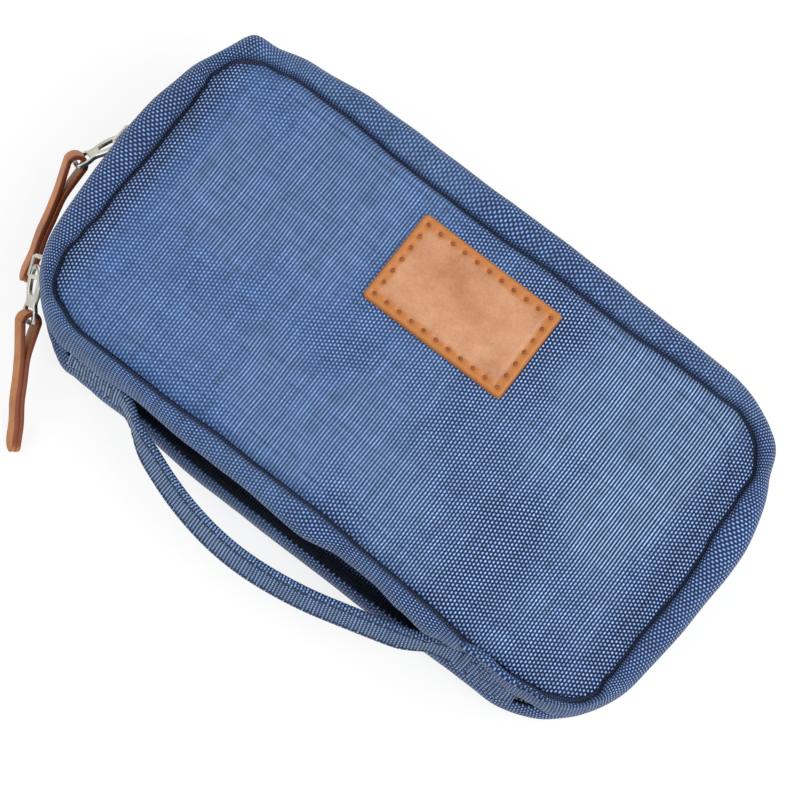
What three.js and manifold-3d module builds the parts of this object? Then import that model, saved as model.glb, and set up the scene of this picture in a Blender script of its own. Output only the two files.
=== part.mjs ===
// Soft zip case for a blood glucose meter: two padded textile halves joined by a folded fabric spine,
// closed on three sides by a zip with two sliders, carried by a fabric strap on the spine.
// Millimetres, +Z up. The case lies on its back panel, the strap side faces -Y, the sliders are at -X.
import * as THREE from 'three';
import { mergeVertices } from 'three/addons/utils/BufferGeometryUtils.js';
import Module from 'manifold-3d';

// Overall case
const caseLength = 222;
const nearReach = 59;             // from the middle of the ends to the straight strap side
const farReach = 61;              // from the middle of the ends to the crown of the far side
const caseHeight = 46;            // over the rolled borders
const cornerRadius = 33;
const endRadius = 260;            // the ends are shallow arcs
const farSideRadius = 2400;       // so is the far long side
const panelCrown = 2;             // rise of the front panel's middle
const nearLean = 3;               // the strap side of the front half leans inwards
const nearSink = 4.8;             // and its wall is pressed in under the seam
const nearSinkX = 3;
const nearSinkHalf = 80;
const nearSinkDepth = 21;         // how far in from the outline the press starts to show
const nearSinkRun = 14;           // and the run over which it comes to its full depth
const nearSinkRise = 4;          // over the zip's middle the press starts to fade
const nearSinkFade = 20;           // and the height over which it has gone

// Zip
const zipGap = 13;                // between the sewn edges of the two borders
const tapeThickness = 0.5;
const tapeInset = 3.9;            // outer face of the zip tape below the case's outline
const tapeTuck = 3.6;             // tape sewn behind the border's edge
const rowThickness = 1.8;
const rowHeight = 3.2;            // from the root of a row of teeth to its tips
const toothPitch = 3;
const toothRootWidth = 1.3;
const toothTipWidth = 0.9;
const toothMesh = 0.9;            // how far the tips of one row reach between those of the other
const toothRest = 0.3;            // from those tips to the valleys they reach into
const slitGap = 2.4;              // between the tips where the zip is open
const slitLead = 6;               // the rows start to part this far behind a slider's middle
const slitRamp = 7;
const endGap = 0.3;               // between the tips at the two ends of the zip
const endRamp = 16;
const endRun = 5;
const teethPerFacet = 2;
const zipEndTurn = THREE.MathUtils.degToRad(8);   // how far round the strap side's corners it ends

// Cloth, foam and clearances
const clothThickness = 1.2;
const liningThickness = 0.8;
const wallLiningThickness = 1.6;
const foamThickness = 2.6;
const seat = 0.3;                 // clearance between pieces that rest on each other
const foldGap = 0.15;             // clearance at the folding edges of the spine
const grooveInset = 8.4;          // the seam between a border and its panel
const grooveWidth = 0.3;
const bindingWidth = 2.6;
const bindingHeight = 2.2;
const panelShoulder = 4.4;        // from the groove to where the panel is flat

// Spine
const spineInset = 2.8;
const spineSink = 5;              // how far the folded spine sinks in between the borders
const spineThickness = 0.9;
const spineLiningThickness = 0.7;
const spineMargin = 1.5;          // from the spine's ends to the ends of the zip

// Strap
const strapWidth = 12;
const strapThickness = 2.2;
const strapEndThickness = 1.4;
const strapEndLength = 20.5;
const strapEndInset = 0.6;
const strapEndMargin = 4;         // the sewn ends reach past the ends of the zip
const strapReach = 16.5;          // how far it bows out from the case
const strapSag = 1;
const strapLean = THREE.MathUtils.degToRad(40);

// Slider
const sliderLength = 11;
const sliderPlate = 1.2;
const sliderRoom = 3.6;           // between the plates
const sliderBackSide = 5.5;       // half width on the back half's side, with its guiding lip
const sliderFrontSide = 4.6;      // half width on the front half's side
const sliderChamfer = 1.4;
const lipSlot = 1.5;
const lipThickness = 0.8;
const wedgeWidth = 1.5;
const wedgeLength = 3;
const wedgeFromHead = 1;
const bridgeWidth = 1.0;
const bridgeLength = 7.8;
const bridgeLeg = 1.3;
const bridgeThickness = 0.9;
const bridgeRoom = 5.2;
const sliderFarY = 7.5;           // where the sliders stand along the left end
const sliderNearY = -37.5;

// Pull: cast ring with a link slot, and a leather strip folded round the link bar
const ringLength = 17;            // from the bar in the bridge to the bar in the leather
const ringThickness = 1.4;
const ringHalfWidth = 4.3;
const ringBar = 1.6;
const ringWindowLength = 9;
const ringWindowHalfWidth = 2.9;
const windowFullness = 0.42;       // a plain ellipse is 1, a fuller window is less
const ringWaistHalfWidth = 2.9;
const linkHalfWidth = 4;
const linkSlotLength = 3.8;
const linkSlotHalfWidth = 2.8;
const linkBar = 1.4;
const pullRise = 3.5;             // the bar in the bridge above the slider's face
const pullDroop = THREE.MathUtils.degToRad(18);
const pullRoll = THREE.MathUtils.degToRad(36);
const leatherWidth = 5;
const leatherLength = 41;
const leatherThickness = 3.4;     // of the doubled strip
const leatherEyeRadius = 4.1;
const leatherEyeHole = 2.5;
const leatherNeck = 12;
const farPullSwings = [28, -4];  // of the ring and of the leather, outwards from the case, in degrees
const nearPullSwings = [-3, 0];

// Label
const labelLength = 50.6;
const labelWidth = 31.6;
const labelThickness = 1.7;
const labelBevel = 0.5;
const labelCorner = 2.2;
const labelX = 0.8;
const labelY = 25;

// Inside: elastic bands and loops on the back lining, mesh pocket on the front lining
const bandThickness = 1.2;
const bandFoot = 5;
const meterBandWidth = 18;
const meterBandSpan = 58;
const meterBandRise = 12;
const meterBandXs = [-74, -36];
const penLoopWidth = 12;
const penLoopSpan = 17;
const penLoopRise = 14;
const penLoopXs = [14, 74];
const penLoopY = 32;
const potLoopWidth = 16;
const potLoopSpan = 30;
const potLoopRise = 22;
const potLoopX = 44;
const potLoopY = -14;
const bandY = 0;
const pocketHalfLength = 80;
const pocketNearY = -42;
const pocketFarY = 10;
const pocketThickness = 0.8;
const pocketDrop = 0.8;           // slack of the pocket under the lining
const hemWidth = 5;
const hemThickness = 1.6;

// Shares of the rolled border's section: inwards over the groove's inset, and up over its height
const rollInsetShares = [0.29, 0.1, 0.02, 0, 0.09, 0.3, 0.6, 0.9, 1];
const rollRiseShares = [0, 0.12, 0.27, 0.5, 0.74, 0.91, 0.98, 0.955, 0.83];
const wallLiningFirst = 2;
const wallLiningLast = 6;
const shoulderInsetShares = [0, 0.1, 0.4, 1];
const shoulderRiseShares = [0, 0.42, 0.8, 1];
const panelRingShares = [0.34, 0.68, 1];   // of the way from the shoulder to the middle strip
const middleStripShare = 0.88;             // inset of the middle strip over the half width
const sinkFullness = 1.1;
const loopTurnShare = 0.5;                 // below this share of the corner radius loops are offsets
const bowFullnessShare = 1.4;              // below 2 the strap's bow keeps its width longer
const spineFullnessShare = 4;              // the spine's hollow is flat along its middle
const ovalTurnShare = 0.72;                // of the half turn round the ring's oval
const labelRingShares = [0.35, 0.7];
const leatherHoleShare = 0.72;             // length of the eye's hole over the neck

// Facets
const cornerSteps = 6;
const farSteps = 6;
const endSteps = 4;
const nearSteps = 8;
const strapSteps = 20;
const bandSteps = 8;
const roundSteps = 6;
const resolution = 1e-4;

const wasm = await Module();
wasm.setup();

const zipMiddle = caseHeight / 2;
const backEdge = zipMiddle - zipGap / 2;
const frontEdge = zipMiddle + zipGap / 2;
const chainInset = tapeInset + tapeThickness / 2;
const backRowRoot = zipMiddle + toothMesh / 2 - rowHeight;
const borderHeight = caseHeight - frontEdge;
const grooveZ = frontEdge + borderHeight * rollRiseShares[rollRiseShares.length - 1];
const foamTop = caseHeight - clothThickness - seat;
const liningTop = foamTop - foamThickness - seat;
const liningFace = liningTop - liningThickness;   // inner face of the front lining at its edge

const finishes = {
  cloth: { color: 0x5b7fae, roughness: 0.85, metalness: 0 },
  spine: { color: 0x1c2b45, roughness: 0.9, metalness: 0 },
  strap: { color: 0x5f7696, roughness: 0.85, metalness: 0 },
  lining: { color: 0x2a3a55, roughness: 0.9, metalness: 0 },
  foam: { color: 0xd9dadc, roughness: 0.95, metalness: 0 },
  binding: { color: 0x1b2740, roughness: 0.85, metalness: 0 },
  tape: { color: 0x16233b, roughness: 0.85, metalness: 0 },
  teeth: { color: 0x1d2a44, roughness: 0.5, metalness: 0 },
  metal: { color: 0xc6c3b7, roughness: 0.3, metalness: 1 },
  leather: { color: 0xa05c33, roughness: 0.6, metalness: 0 },
  label: { color: 0xcb9a70, roughness: 0.55, metalness: 0 },
  elastic: { color: 0x20262f, roughness: 0.9, metalness: 0 },
  mesh: { color: 0x2b3442, roughness: 0.9, metalness: 0 },
};

const group = new THREE.Group();
group.name = 'glucose_meter_case';

function addMesh(name, geometry, finish) {
  const mesh = new THREE.Mesh(geometry, new THREE.MeshStandardMaterial(finishes[finish]));
  mesh.name = name;
  group.add(mesh);
}

// Outline of the case: arcs that meet smoothly, walked anticlockwise from the strap side's right corner.
const along = (point, angle, distance) => new THREE.Vector2(
  point.x + Math.cos(angle) * distance, point.y + Math.sin(angle) * distance);
const bearing = (from, to) => Math.atan2(to.y - from.y, to.x - from.x);

function circlesMeet(a, radiusA, b, radiusB, side) {
  const distance = a.distanceTo(b);
  const cosine = (distance ** 2 + radiusA ** 2 - radiusB ** 2) / (2 * distance * radiusA);
  return along(a, bearing(a, b) + side * Math.acos(cosine), radiusA);
}

const endCentreX = endRadius - caseLength / 2;
const rightEndCentre = new THREE.Vector2(-endCentreX, 0);
const leftEndCentre = new THREE.Vector2(endCentreX, 0);
const farCentre = new THREE.Vector2(0, farReach - farSideRadius);
const nearCornerY = cornerRadius - nearReach;
const nearCornerX = Math.sqrt((endRadius - cornerRadius) ** 2 - nearCornerY ** 2) - endCentreX;
const nearRightCorner = new THREE.Vector2(nearCornerX, nearCornerY);
const nearLeftCorner = new THREE.Vector2(-nearCornerX, nearCornerY);
const farRightCorner = circlesMeet(
  rightEndCentre, endRadius - cornerRadius, farCentre, farSideRadius - cornerRadius, 1);
const farLeftCorner = new THREE.Vector2(-farRightCorner.x, farRightCorner.y);
const endTurnNear = -bearing(rightEndCentre, nearRightCorner);
const endTurnFar = bearing(rightEndCentre, farRightCorner);
const farTurn = Math.PI / 2 - bearing(farCentre, farRightCorner);

const arc = (centre, radius, from, to, steps) => ({ centre, radius, from, to, steps });
const arcs = [
  arc(nearRightCorner, cornerRadius, -Math.PI / 2, -endTurnNear, cornerSteps),
  arc(rightEndCentre, endRadius, -endTurnNear, endTurnFar, endSteps),
  arc(farRightCorner, cornerRadius, endTurnFar, Math.PI / 2 - farTurn, cornerSteps),
  arc(farCentre, farSideRadius, Math.PI / 2 - farTurn, Math.PI / 2 + farTurn, farSteps),
  arc(farLeftCorner, cornerRadius, Math.PI / 2 + farTurn, Math.PI - endTurnFar, cornerSteps),
  arc(leftEndCentre, endRadius, Math.PI - endTurnFar, Math.PI + endTurnNear, endSteps),
  arc(nearLeftCorner, cornerRadius, Math.PI + endTurnNear, Math.PI * 3 / 2, cornerSteps),
];

// A station is a point of the outline with its outward normal.
function arcStation({ centre, radius }, angle) {
  const point = along(centre, angle, radius);
  return { x: point.x, y: point.y, normal: new THREE.Vector2(Math.cos(angle), Math.sin(angle)) };
}

function outlineStations() {
  const stations = [];
  for (const each of arcs) {
    for (let i = 0; i < each.steps; i += 1) {
      stations.push(arcStation(each, each.from + (each.to - each.from) * i / each.steps));
    }
  }
  for (let i = 0; i < nearSteps; i += 1) {
    stations.push(nearStation(nearCornerX * (2 * i / nearSteps - 1)));
  }
  return stations;
}

// Station of the strap side at a given x, on the straight or on one of its two corners.
function nearStation(x) {
  const past = Math.max(Math.abs(x) - nearCornerX, 0);
  const turn = Math.sign(x) * Math.asin(past / cornerRadius) - Math.PI / 2;
  const normal = new THREE.Vector2(Math.cos(turn), Math.sin(turn));
  return { x, y: nearCornerY + cornerRadius * normal.y, normal };
}

const outline = outlineStations();
const inset = ({ x, y, normal }, depth) => [x - normal.x * depth, y - normal.y * depth];

// The zip's chain: from the strap's right sewn end, round the far side, to its left sewn end.
const chainArcs = arcs.map((each, i) => ({
  centre: each.centre,
  radius: each.radius,
  from: each.from + (i === 0 ? zipEndTurn : 0),
  to: each.to - (i === arcs.length - 1 ? zipEndTurn : 0),
}));
const arcLength = (each) => (each.radius - chainInset) * (each.to - each.from);
const chainLength = chainArcs.reduce((sum, each) => sum + arcLength(each), 0);
const zipEndX = nearCornerX + (cornerRadius - chainInset) * Math.sin(zipEndTurn);

function chainStation(distance) {
  let left = Math.min(Math.max(distance, 0), chainLength);
  for (const each of chainArcs) {
    if (left <= arcLength(each) + resolution) {
      return arcStation(each, each.from + left / (each.radius - chainInset));
    }
    left -= arcLength(each);
  }
  const last = chainArcs[chainArcs.length - 1];
  return arcStation(last, last.to);
}

// Distance along the chain of a point that stands at y on the left end or on its near corner.
function chainDistanceAt(y) {
  let before = 0;
  for (const each of chainArcs) {
    const radius = each.radius - chainInset;
    const angle = Math.PI - Math.asin(THREE.MathUtils.clamp((y - each.centre.y) / radius, -1, 1));
    const onLeft = each.centre === leftEndCentre || each.centre === nearLeftCorner;
    if (onLeft && angle >= each.from && angle <= each.to) {
      return before + (angle - each.from) * radius;
    }
    before += arcLength(each);
  }
  return before;
}

const farSliderAt = chainDistanceAt(sliderFarY);
const nearSliderAt = chainDistanceAt(sliderNearY);

// Where a slider stands: a straight one on a curved chain sits halfway between its arc and its chord.
function sliderStand(distance) {
  const middle = chainStation(distance);
  const ends = [-1, 1].map((side) => chainStation(distance + side * sliderLength / 2));
  const [from, to] = ends.map((end) => new THREE.Vector2(...inset(end, chainInset)));
  const chord = from.add(to).divideScalar(2);
  const sink = chord.distanceTo(new THREE.Vector2(...inset(middle, chainInset))) / 2;
  const [x, y] = inset(middle, sink);
  return { x, y, normal: middle.normal };
}

const ease = (value) => THREE.MathUtils.smoothstep(value, 0, 1);

// How far each row of teeth stands back from where it would mesh: in the slit, and at the ends.
function rowShift(distance) {
  const slit = ease((distance - farSliderAt + slitLead) / slitRamp)
    * ease((nearSliderAt + slitLead - distance) / slitRamp);
  const fromEnd = Math.min(distance, chainLength - distance);
  const end = 1 - ease((fromEnd - endRun) / endRamp);
  return slit * (slitGap + toothMesh) / 2 + end * (endGap + toothMesh) / 2;
}

// Closed meshes from points and faces
function signedVolume(geometry) {
  const position = geometry.getAttribute('position');
  const index = geometry.getIndex();
  const corners = [new THREE.Vector3(), new THREE.Vector3(), new THREE.Vector3()];
  let volume = 0;
  for (let i = 0; i < index.count; i += 3) {
    corners.forEach((corner, k) => corner.fromBufferAttribute(position, index.getX(i + k)));
    volume += corners[0].dot(corners[1].clone().cross(corners[2]));
  }
  return volume;
}

function facingOut(geometry) {
  if (signedVolume(geometry) < 0) {
    const index = geometry.getIndex();
    for (let i = 0; i < index.count; i += 3) {
      const first = index.getX(i);
      index.setX(i, index.getX(i + 2));
      index.setX(i + 2, first);
    }
  }
  geometry.computeVertexNormals();
  return geometry;
}

function closedGeometry(points, faces) {
  const geometry = new THREE.BufferGeometry();
  geometry.setAttribute('position', new THREE.Float32BufferAttribute(points.flat(), 3));
  geometry.setIndex(faces.flat());
  return facingOut(geometry);
}

// Quads between successive loops of equal count; the row of loops closes on itself when ring is true.
function loopFaces(loops, ring) {
  const faces = [];
  const count = loops[0].length;
  const rows = ring ? loops.length : loops.length - 1;
  for (let j = 0; j < rows; j += 1) {
    const next = (j + 1) % loops.length;
    for (let i = 0; i < count; i += 1) {
      const k = (i + 1) % count;
      const [a, b, c, d] = [j * count + i, j * count + k, next * count + k, next * count + i];
      faces.push([a, b, c], [a, c, d]);
    }
  }
  return faces;
}

// Closes the first and the last loop, seen along the axis that project drops.
function capFaces(loops, project) {
  const count = loops[0].length;
  const starts = [0, (loops.length - 1) * count];
  return starts.flatMap((start, i) => {
    const flat = loops[i === 0 ? 0 : loops.length - 1].map(project);
    const reversed = THREE.ShapeUtils.isClockWise(flat) === (i === 0);
    const shape = THREE.ShapeUtils.isClockWise(flat) ? flat.slice().reverse() : flat;
    const original = (k) => (THREE.ShapeUtils.isClockWise(flat) ? count - 1 - k : k);
    return THREE.ShapeUtils.triangulateShape(shape, []).map((face) => {
      const turned = face.map((k) => start + original(k));
      return reversed === THREE.ShapeUtils.isClockWise(flat) ? turned.reverse() : turned;
    });
  });
}

const seenFromAbove = ([x, y]) => new THREE.Vector2(x, y);

function stackGeometry(loops) {
  return closedGeometry(loops.flat(), [...loopFaces(loops, false), ...capFaces(loops, seenFromAbove)]);
}

// A strip through a row of convex sections, with a fan at each end.
function stripGeometry(sections) {
  const count = sections[0].length;
  const faces = loopFaces(sections, false);
  const last = (sections.length - 1) * count;
  for (let i = 1; i < count - 1; i += 1) {
    faces.push([0, i + 1, i], [last, last + i, last + i + 1]);
  }
  return closedGeometry(sections.flat(), faces);
}

// A band swept round the closed outline from a closed section of [inset, z] points.
function ringGeometry(section, settle) {
  const corner = (station, [depth, z]) => settle([...inset(station, depth), z]);
  const loops = outline.map((station) => section.map((point) => corner(station, point)));
  return closedGeometry(loops.flat(), loopFaces(loops, true));
}

// Solids joined and cut, then given back as one mesh
function solidOf(geometry) {
  const bare = geometry.clone();
  bare.deleteAttribute('normal');
  bare.deleteAttribute('uv');
  const welded = mergeVertices(bare, resolution);
  return new wasm.Manifold(new wasm.Mesh({
    numProp: 3,
    vertProperties: new Float32Array(welded.getAttribute('position').array),
    triVerts: new Uint32Array(welded.getIndex().array),
  }));
}

function meshOf(solid) {
  const { vertProperties, triVerts } = solid.getMesh();
  const geometry = new THREE.BufferGeometry();
  geometry.setAttribute('position', new THREE.Float32BufferAttribute(vertProperties, 3));
  geometry.setIndex(Array.from(triVerts));
  return geometry;
}

const joined = (geometries) => meshOf(geometries.map(solidOf).reduce((sum, next) => sum.add(next)));

// Places for the two halves: the front one is the back one's mirror twin, crowned and leaning.
const asBack = ([x, y, z]) => [x, y, caseHeight - z];

function asFront([x, y, z]) {
  const near = Math.max(0, -y / nearReach) ** 2;
  const high = Math.max(0, (z - frontEdge - tapeTuck) / (borderHeight - tapeTuck));
  const middle = Math.cos(Math.PI / 2 * Math.min(1, Math.abs(x - nearSinkX) / nearSinkHalf));
  const give = ease((nearSinkDepth - nearReach - y) / nearSinkRun);
  const low = 1 - ease((z - zipMiddle - nearSinkRise) / nearSinkFade);
  const pressed = nearSink * ease(middle * sinkFullness) * give * low;
  return [x, y + nearLean * near * high + pressed, z];
}

const crownAt = (x, y) => panelCrown * (1 - (2 * x / caseLength) ** 2) * (1 - (y / farReach) ** 2);
const halves = [
  { prefix: 'back', settle: asBack, crowned: false },
  { prefix: 'front', settle: asFront, crowned: true },
];

// Borders: from the zip up the wall, over the roll and down into the seam groove.
const rollRise = (i) => frontEdge + borderHeight * rollRiseShares[i];
const roll = rollInsetShares.map((share, i) => [grooveInset * share, rollRise(i)]);

function offsetProfile(profile, distance) {
  return profile.map((point, i) => {
    const before = profile[Math.max(i - 1, 0)];
    const after = profile[Math.min(i + 1, profile.length - 1)];
    const tangent = new THREE.Vector2(after[0] - before[0], after[1] - before[1]).normalize();
    return [point[0] + tangent.y * distance, point[1] - tangent.x * distance];
  });
}

function borderSection() {
  const inner = offsetProfile(roll, clothThickness);
  inner[0][1] = roll[0][1];
  inner[inner.length - 1] = [grooveInset - clothThickness, grooveZ];
  return [...roll, ...inner.reverse()];
}

function wallLiningSection() {
  const clear = clothThickness + seat;
  const outer = offsetProfile(roll, clear).slice(wallLiningFirst, wallLiningLast + 1);
  const inner = offsetProfile(roll, clear + wallLiningThickness).slice(wallLiningFirst, wallLiningLast + 1);
  return [...outer, ...inner.reverse()];
}

const grooveMiddle = grooveInset + grooveWidth / 2;

function bindingSection() {
  const [low, high] = [grooveZ - seat - bindingHeight, grooveZ - seat];
  const [outer, inner] = [grooveMiddle - bindingWidth / 2, grooveMiddle + bindingWidth / 2];
  return [[outer, low], [inner, low], [inner, high], [outer, high]];
}

// Loops inside the outline: offsets near it, then closing in on a middle strip.
function innerLoop(depth) {
  const turn = cornerRadius * loopTurnShare;
  if (depth <= turn) return outline.map((station) => inset(station, depth));
  const [halfLength, halfWidth] = [caseLength / 2 - turn, nearReach - turn];
  const [lengthShare, widthShare] = [1 - (depth - turn) / halfLength, 1 - (depth - turn) / halfWidth];
  return outline.map((station) => inset(station, turn)).map(([x, y]) => [x * lengthShare, y * widthShare]);
}

// Flat or crowned sheet, from an edge inset to the middle; its top lies at z.
function sheetLoops(edge, z, thickness, crowned) {
  const middle = nearReach * middleStripShare;
  const rings = crowned ? panelRingShares : [];
  const depths = [edge, ...rings.map((share) => edge + (middle - edge) * share)];
  const face = (drop) => depths.map((depth) => innerLoop(depth).map(
    ([x, y]) => [x, y, z - drop + (crowned ? crownAt(x, y) : 0)]));
  return [face(0).reverse(), face(thickness)].flat();
}

function sheetGeometry(edge, z, thickness, { settle, crowned }) {
  return stackGeometry(sheetLoops(edge, z, thickness, crowned).map((loop) => loop.map(settle)));
}

// Panel: its turned-down edge stands in the groove, then a rounded shoulder leads to the flat.
function panelGeometry({ settle, crowned }) {
  const edge = grooveInset + grooveWidth;
  const rise = caseHeight - grooveZ;
  const shoulder = (inward, drop) => shoulderInsetShares.slice(0, -1).map((share, i) => {
    const z = grooveZ + rise * shoulderRiseShares[i] - (i === 0 ? 0 : drop);
    const depth = edge + panelShoulder * share + inward;
    return innerLoop(depth).map(([x, y]) => [x, y, z + (crowned ? share * crownAt(x, y) : 0)]);
  });
  const flat = sheetLoops(edge + panelShoulder, caseHeight, clothThickness, crowned);
  const inward = clothThickness * shoulderRiseShares[1];
  const under = shoulder(inward, clothThickness * shoulderRiseShares[2]);
  const loops = [...flat.slice(0, flat.length / 2), ...shoulder(0, 0).reverse(), ...under,
    ...flat.slice(flat.length / 2)];
  return stackGeometry(loops.map((loop) => loop.map(settle)));
}

function addHalf(half) {
  const { prefix, settle } = half;
  const foamEdge = grooveInset + grooveWidth + panelShoulder;
  addMesh(`${prefix}_panel`, panelGeometry(half), 'cloth');
  addMesh(`${prefix}_border`, ringGeometry(borderSection(), settle), 'cloth');
  addMesh(`${prefix}_binding`, ringGeometry(bindingSection(), settle), 'binding');
  addMesh(`${prefix}_panel_foam`, sheetGeometry(foamEdge, foamTop, foamThickness, half), 'foam');
  const liningEdge = grooveMiddle + bindingWidth / 2 + seat;
  addMesh(`${prefix}_panel_lining`, sheetGeometry(liningEdge, liningTop, liningThickness, half), 'lining');
  addMesh(`${prefix}_border_lining`, ringGeometry(wallLiningSection(), settle), 'lining');
  addMesh(`${prefix}_zip_tape`, tapeGeometry(settle), 'tape');
  addMesh(`${prefix}_zip_teeth`, rowGeometry(prefix === 'front', settle), 'teeth');
}

// Zip tape and teeth follow the chain in the same facets. Both are drawn for the front half, upside down.
const facetLength = toothPitch * teethPerFacet;
const facetCount = Math.floor(chainLength / facetLength);
const rowStart = (chainLength - facetCount * facetLength) / 2;
const facetEnds = Array.from({ length: facetCount + 1 }, (_, i) => rowStart + i * facetLength);
const rowZ = (height, distance) => caseHeight - (backRowRoot + height - rowShift(distance));

function tapeGeometry(settle) {
  const edge = frontEdge + tapeTuck;
  return stripGeometry(facetEnds.map((distance) => {
    const station = chainStation(distance);
    const low = rowZ(0, distance) + seat;
    const corners = [[tapeInset, edge], [tapeInset, low]];
    corners.push([tapeInset + tapeThickness, low], [tapeInset + tapeThickness, edge]);
    return corners.map(([depth, z]) => settle([...inset(station, depth), z]));
  }));
}

// One facet of a row as a flat comb of [distance, height] points; the two rows stand half a pitch apart.
function combFacet(from, front) {
  const valley = rowHeight - toothMesh - toothRest;
  const first = toothPitch * (front ? 3 : 1) / 4;
  const comb = [[from, 0], [from + facetLength, 0], [from + facetLength, valley]];
  for (let i = teethPerFacet - 1; i >= 0; i -= 1) {
    const middle = from + first + toothPitch * i;
    comb.push([middle + toothRootWidth / 2, valley], [middle + toothTipWidth / 2, rowHeight]);
    comb.push([middle - toothTipWidth / 2, rowHeight], [middle - toothRootWidth / 2, valley]);
  }
  comb.push([from, valley]);
  return comb;
}

function rowGeometry(front, settle) {
  const points = [];
  const faces = [];
  const known = new Map();
  const vertex = ([distance, height], side) => {
    const key = [distance.toFixed(4), height.toFixed(4), side].join();
    if (!known.has(key)) {
      known.set(key, points.length);
      const depth = chainInset + side * rowThickness / 2;
      points.push(settle([...inset(chainStation(distance), depth), rowZ(height, distance)]));
    }
    return known.get(key);
  };
  const wall = (a, b) => {
    const [p, q, r, s] = [vertex(a, -1), vertex(b, -1), vertex(b, 1), vertex(a, 1)];
    faces.push([p, s, r], [p, r, q]);
  };
  for (let block = 0; block < facetCount; block += 1) {
    const comb = combFacet(facetEnds[block], front);
    const flat = comb.map(([distance, height]) => new THREE.Vector2(distance, height));
    for (const [a, b, c] of THREE.ShapeUtils.triangulateShape(flat, [])) {
      faces.push([vertex(comb[a], -1), vertex(comb[b], -1), vertex(comb[c], -1)].reverse());
      faces.push([vertex(comb[a], 1), vertex(comb[b], 1), vertex(comb[c], 1)]);
    }
    wall(comb[1], comb[0]);
    for (let i = 2; i < comb.length - 1; i += 1) wall(comb[i + 1], comb[i]);
    if (block === 0) wall(comb[0], comb[comb.length - 1]);
    if (block === facetCount - 1) wall(comb[2], comb[1]);
  }
  return closedGeometry(points, faces);
}

// Spine: a strip of cloth sunk between the borders, with its lining behind it.
const spineHalfLength = zipEndX - spineMargin;

function spineGeometry(behind, thickness) {
  const sections = Array.from({ length: nearSteps * 2 + 1 }, (_, i) => {
    const share = i / nearSteps - 1;
    const station = nearStation(spineHalfLength * share);
    const depth = spineInset + spineSink * (1 - share ** spineFullnessShare) + behind;
    return [[depth, backEdge + foldGap], [depth + thickness, backEdge + foldGap],
      [depth + thickness, frontEdge - foldGap], [depth, frontEdge - foldGap]]
      .map(([inward, z]) => [...inset(station, inward), z]);
  });
  return stripGeometry(sections);
}

// Strap: sewn ends in the recess over the ends of the zip, and the free part bowing out between them.
const strapRootX = zipEndX + strapEndMargin - strapEndLength;

function strapEndGeometry(side) {
  const steps = 6;
  const sections = Array.from({ length: steps + 1 }, (_, i) => {
    const station = nearStation(side * (strapRootX + strapEndLength * i / steps));
    const [low, high] = [zipMiddle - strapWidth / 2, zipMiddle + strapWidth / 2];
    return [[strapEndInset, low], [strapEndInset + strapEndThickness, low],
      [strapEndInset + strapEndThickness, high], [strapEndInset, high]]
      .map(([inward, z]) => [...inset(station, inward), z]);
  });
  return stripGeometry(sections);
}

function strapCentre(share) {
  const bow = Math.sin(Math.PI * share) ** bowFullnessShare;
  const x = (strapRootX - seat) * (2 * share - 1);
  const y = strapEndInset + strapThickness / 2 - nearReach - strapReach * bow;
  return new THREE.Vector3(x, y, zipMiddle - strapSag * bow);
}

function strapGeometry() {
  const sections = Array.from({ length: strapSteps + 1 }, (_, i) => {
    const share = i / strapSteps;
    const centre = strapCentre(share);
    const before = strapCentre(Math.max(share - resolution, 0));
    const tangent = strapCentre(Math.min(share + resolution, 1)).sub(before).normalize();
    const lean = strapLean * ease(Math.sin(Math.PI * share) ** 2);
    const across = new THREE.Vector3(0, Math.sin(lean), Math.cos(lean));
    across.addScaledVector(tangent, -across.dot(tangent)).normalize();
    const face = tangent.clone().cross(across);
    const corner = (a, b) => centre.clone().addScaledVector(across, a * strapWidth / 2)
      .addScaledVector(face, b * strapThickness / 2).toArray();
    return [corner(-1, -1), corner(1, -1), corner(1, 1), corner(-1, 1)];
  });
  return stripGeometry(sections);
}

// Slider, drawn with u along the zip towards its head, v up and w out of the case.
const plateInset = chainInset - sliderRoom / 2;   // inner face of the outer plate

function plateShape() {
  const [half, low, high] = [sliderLength / 2, -sliderBackSide, sliderFrontSide];
  return new THREE.Shape([
    [-half, low + sliderChamfer], [sliderChamfer - half, low], [half - sliderChamfer, low],
    [half, low + sliderChamfer], [half, high - sliderChamfer], [half - sliderChamfer, high],
    [sliderChamfer - half, high], [-half, high - sliderChamfer],
  ].map(([u, v]) => new THREE.Vector2(u, v)));
}

function extruded(shape, depth) {
  return new THREE.ExtrudeGeometry(shape, { depth, bevelEnabled: false, curveSegments: roundSteps });
}


function plateGeometry(w) {
  return extruded(plateShape(), sliderPlate).translate(0, 0, w);
}

function lipGeometry(side) {
  const reach = (sliderRoom - lipSlot) / 2 + resolution;
  const lipLength = sliderLength - 2 * sliderChamfer;
  const lip = new THREE.BoxGeometry(lipLength, lipThickness, reach + sliderPlate / 2);
  const w = side * (lipSlot / 2 + (reach + sliderPlate / 2) / 2);
  return lip.translate(0, lipThickness / 2 - sliderBackSide, w - chainInset);
}

function wedgeGeometry() {
  const middle = sliderLength / 2 - wedgeFromHead - wedgeLength / 2;
  const shape = new THREE.Shape([
    new THREE.Vector2(middle - wedgeLength / 2, 0), new THREE.Vector2(middle, -wedgeWidth / 2),
    new THREE.Vector2(middle + wedgeLength / 2, 0), new THREE.Vector2(middle, wedgeWidth / 2),
  ]);
  const depth = sliderRoom + sliderPlate;
  return extruded(shape, depth).translate(0, 0, -chainInset - depth / 2);
}

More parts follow.
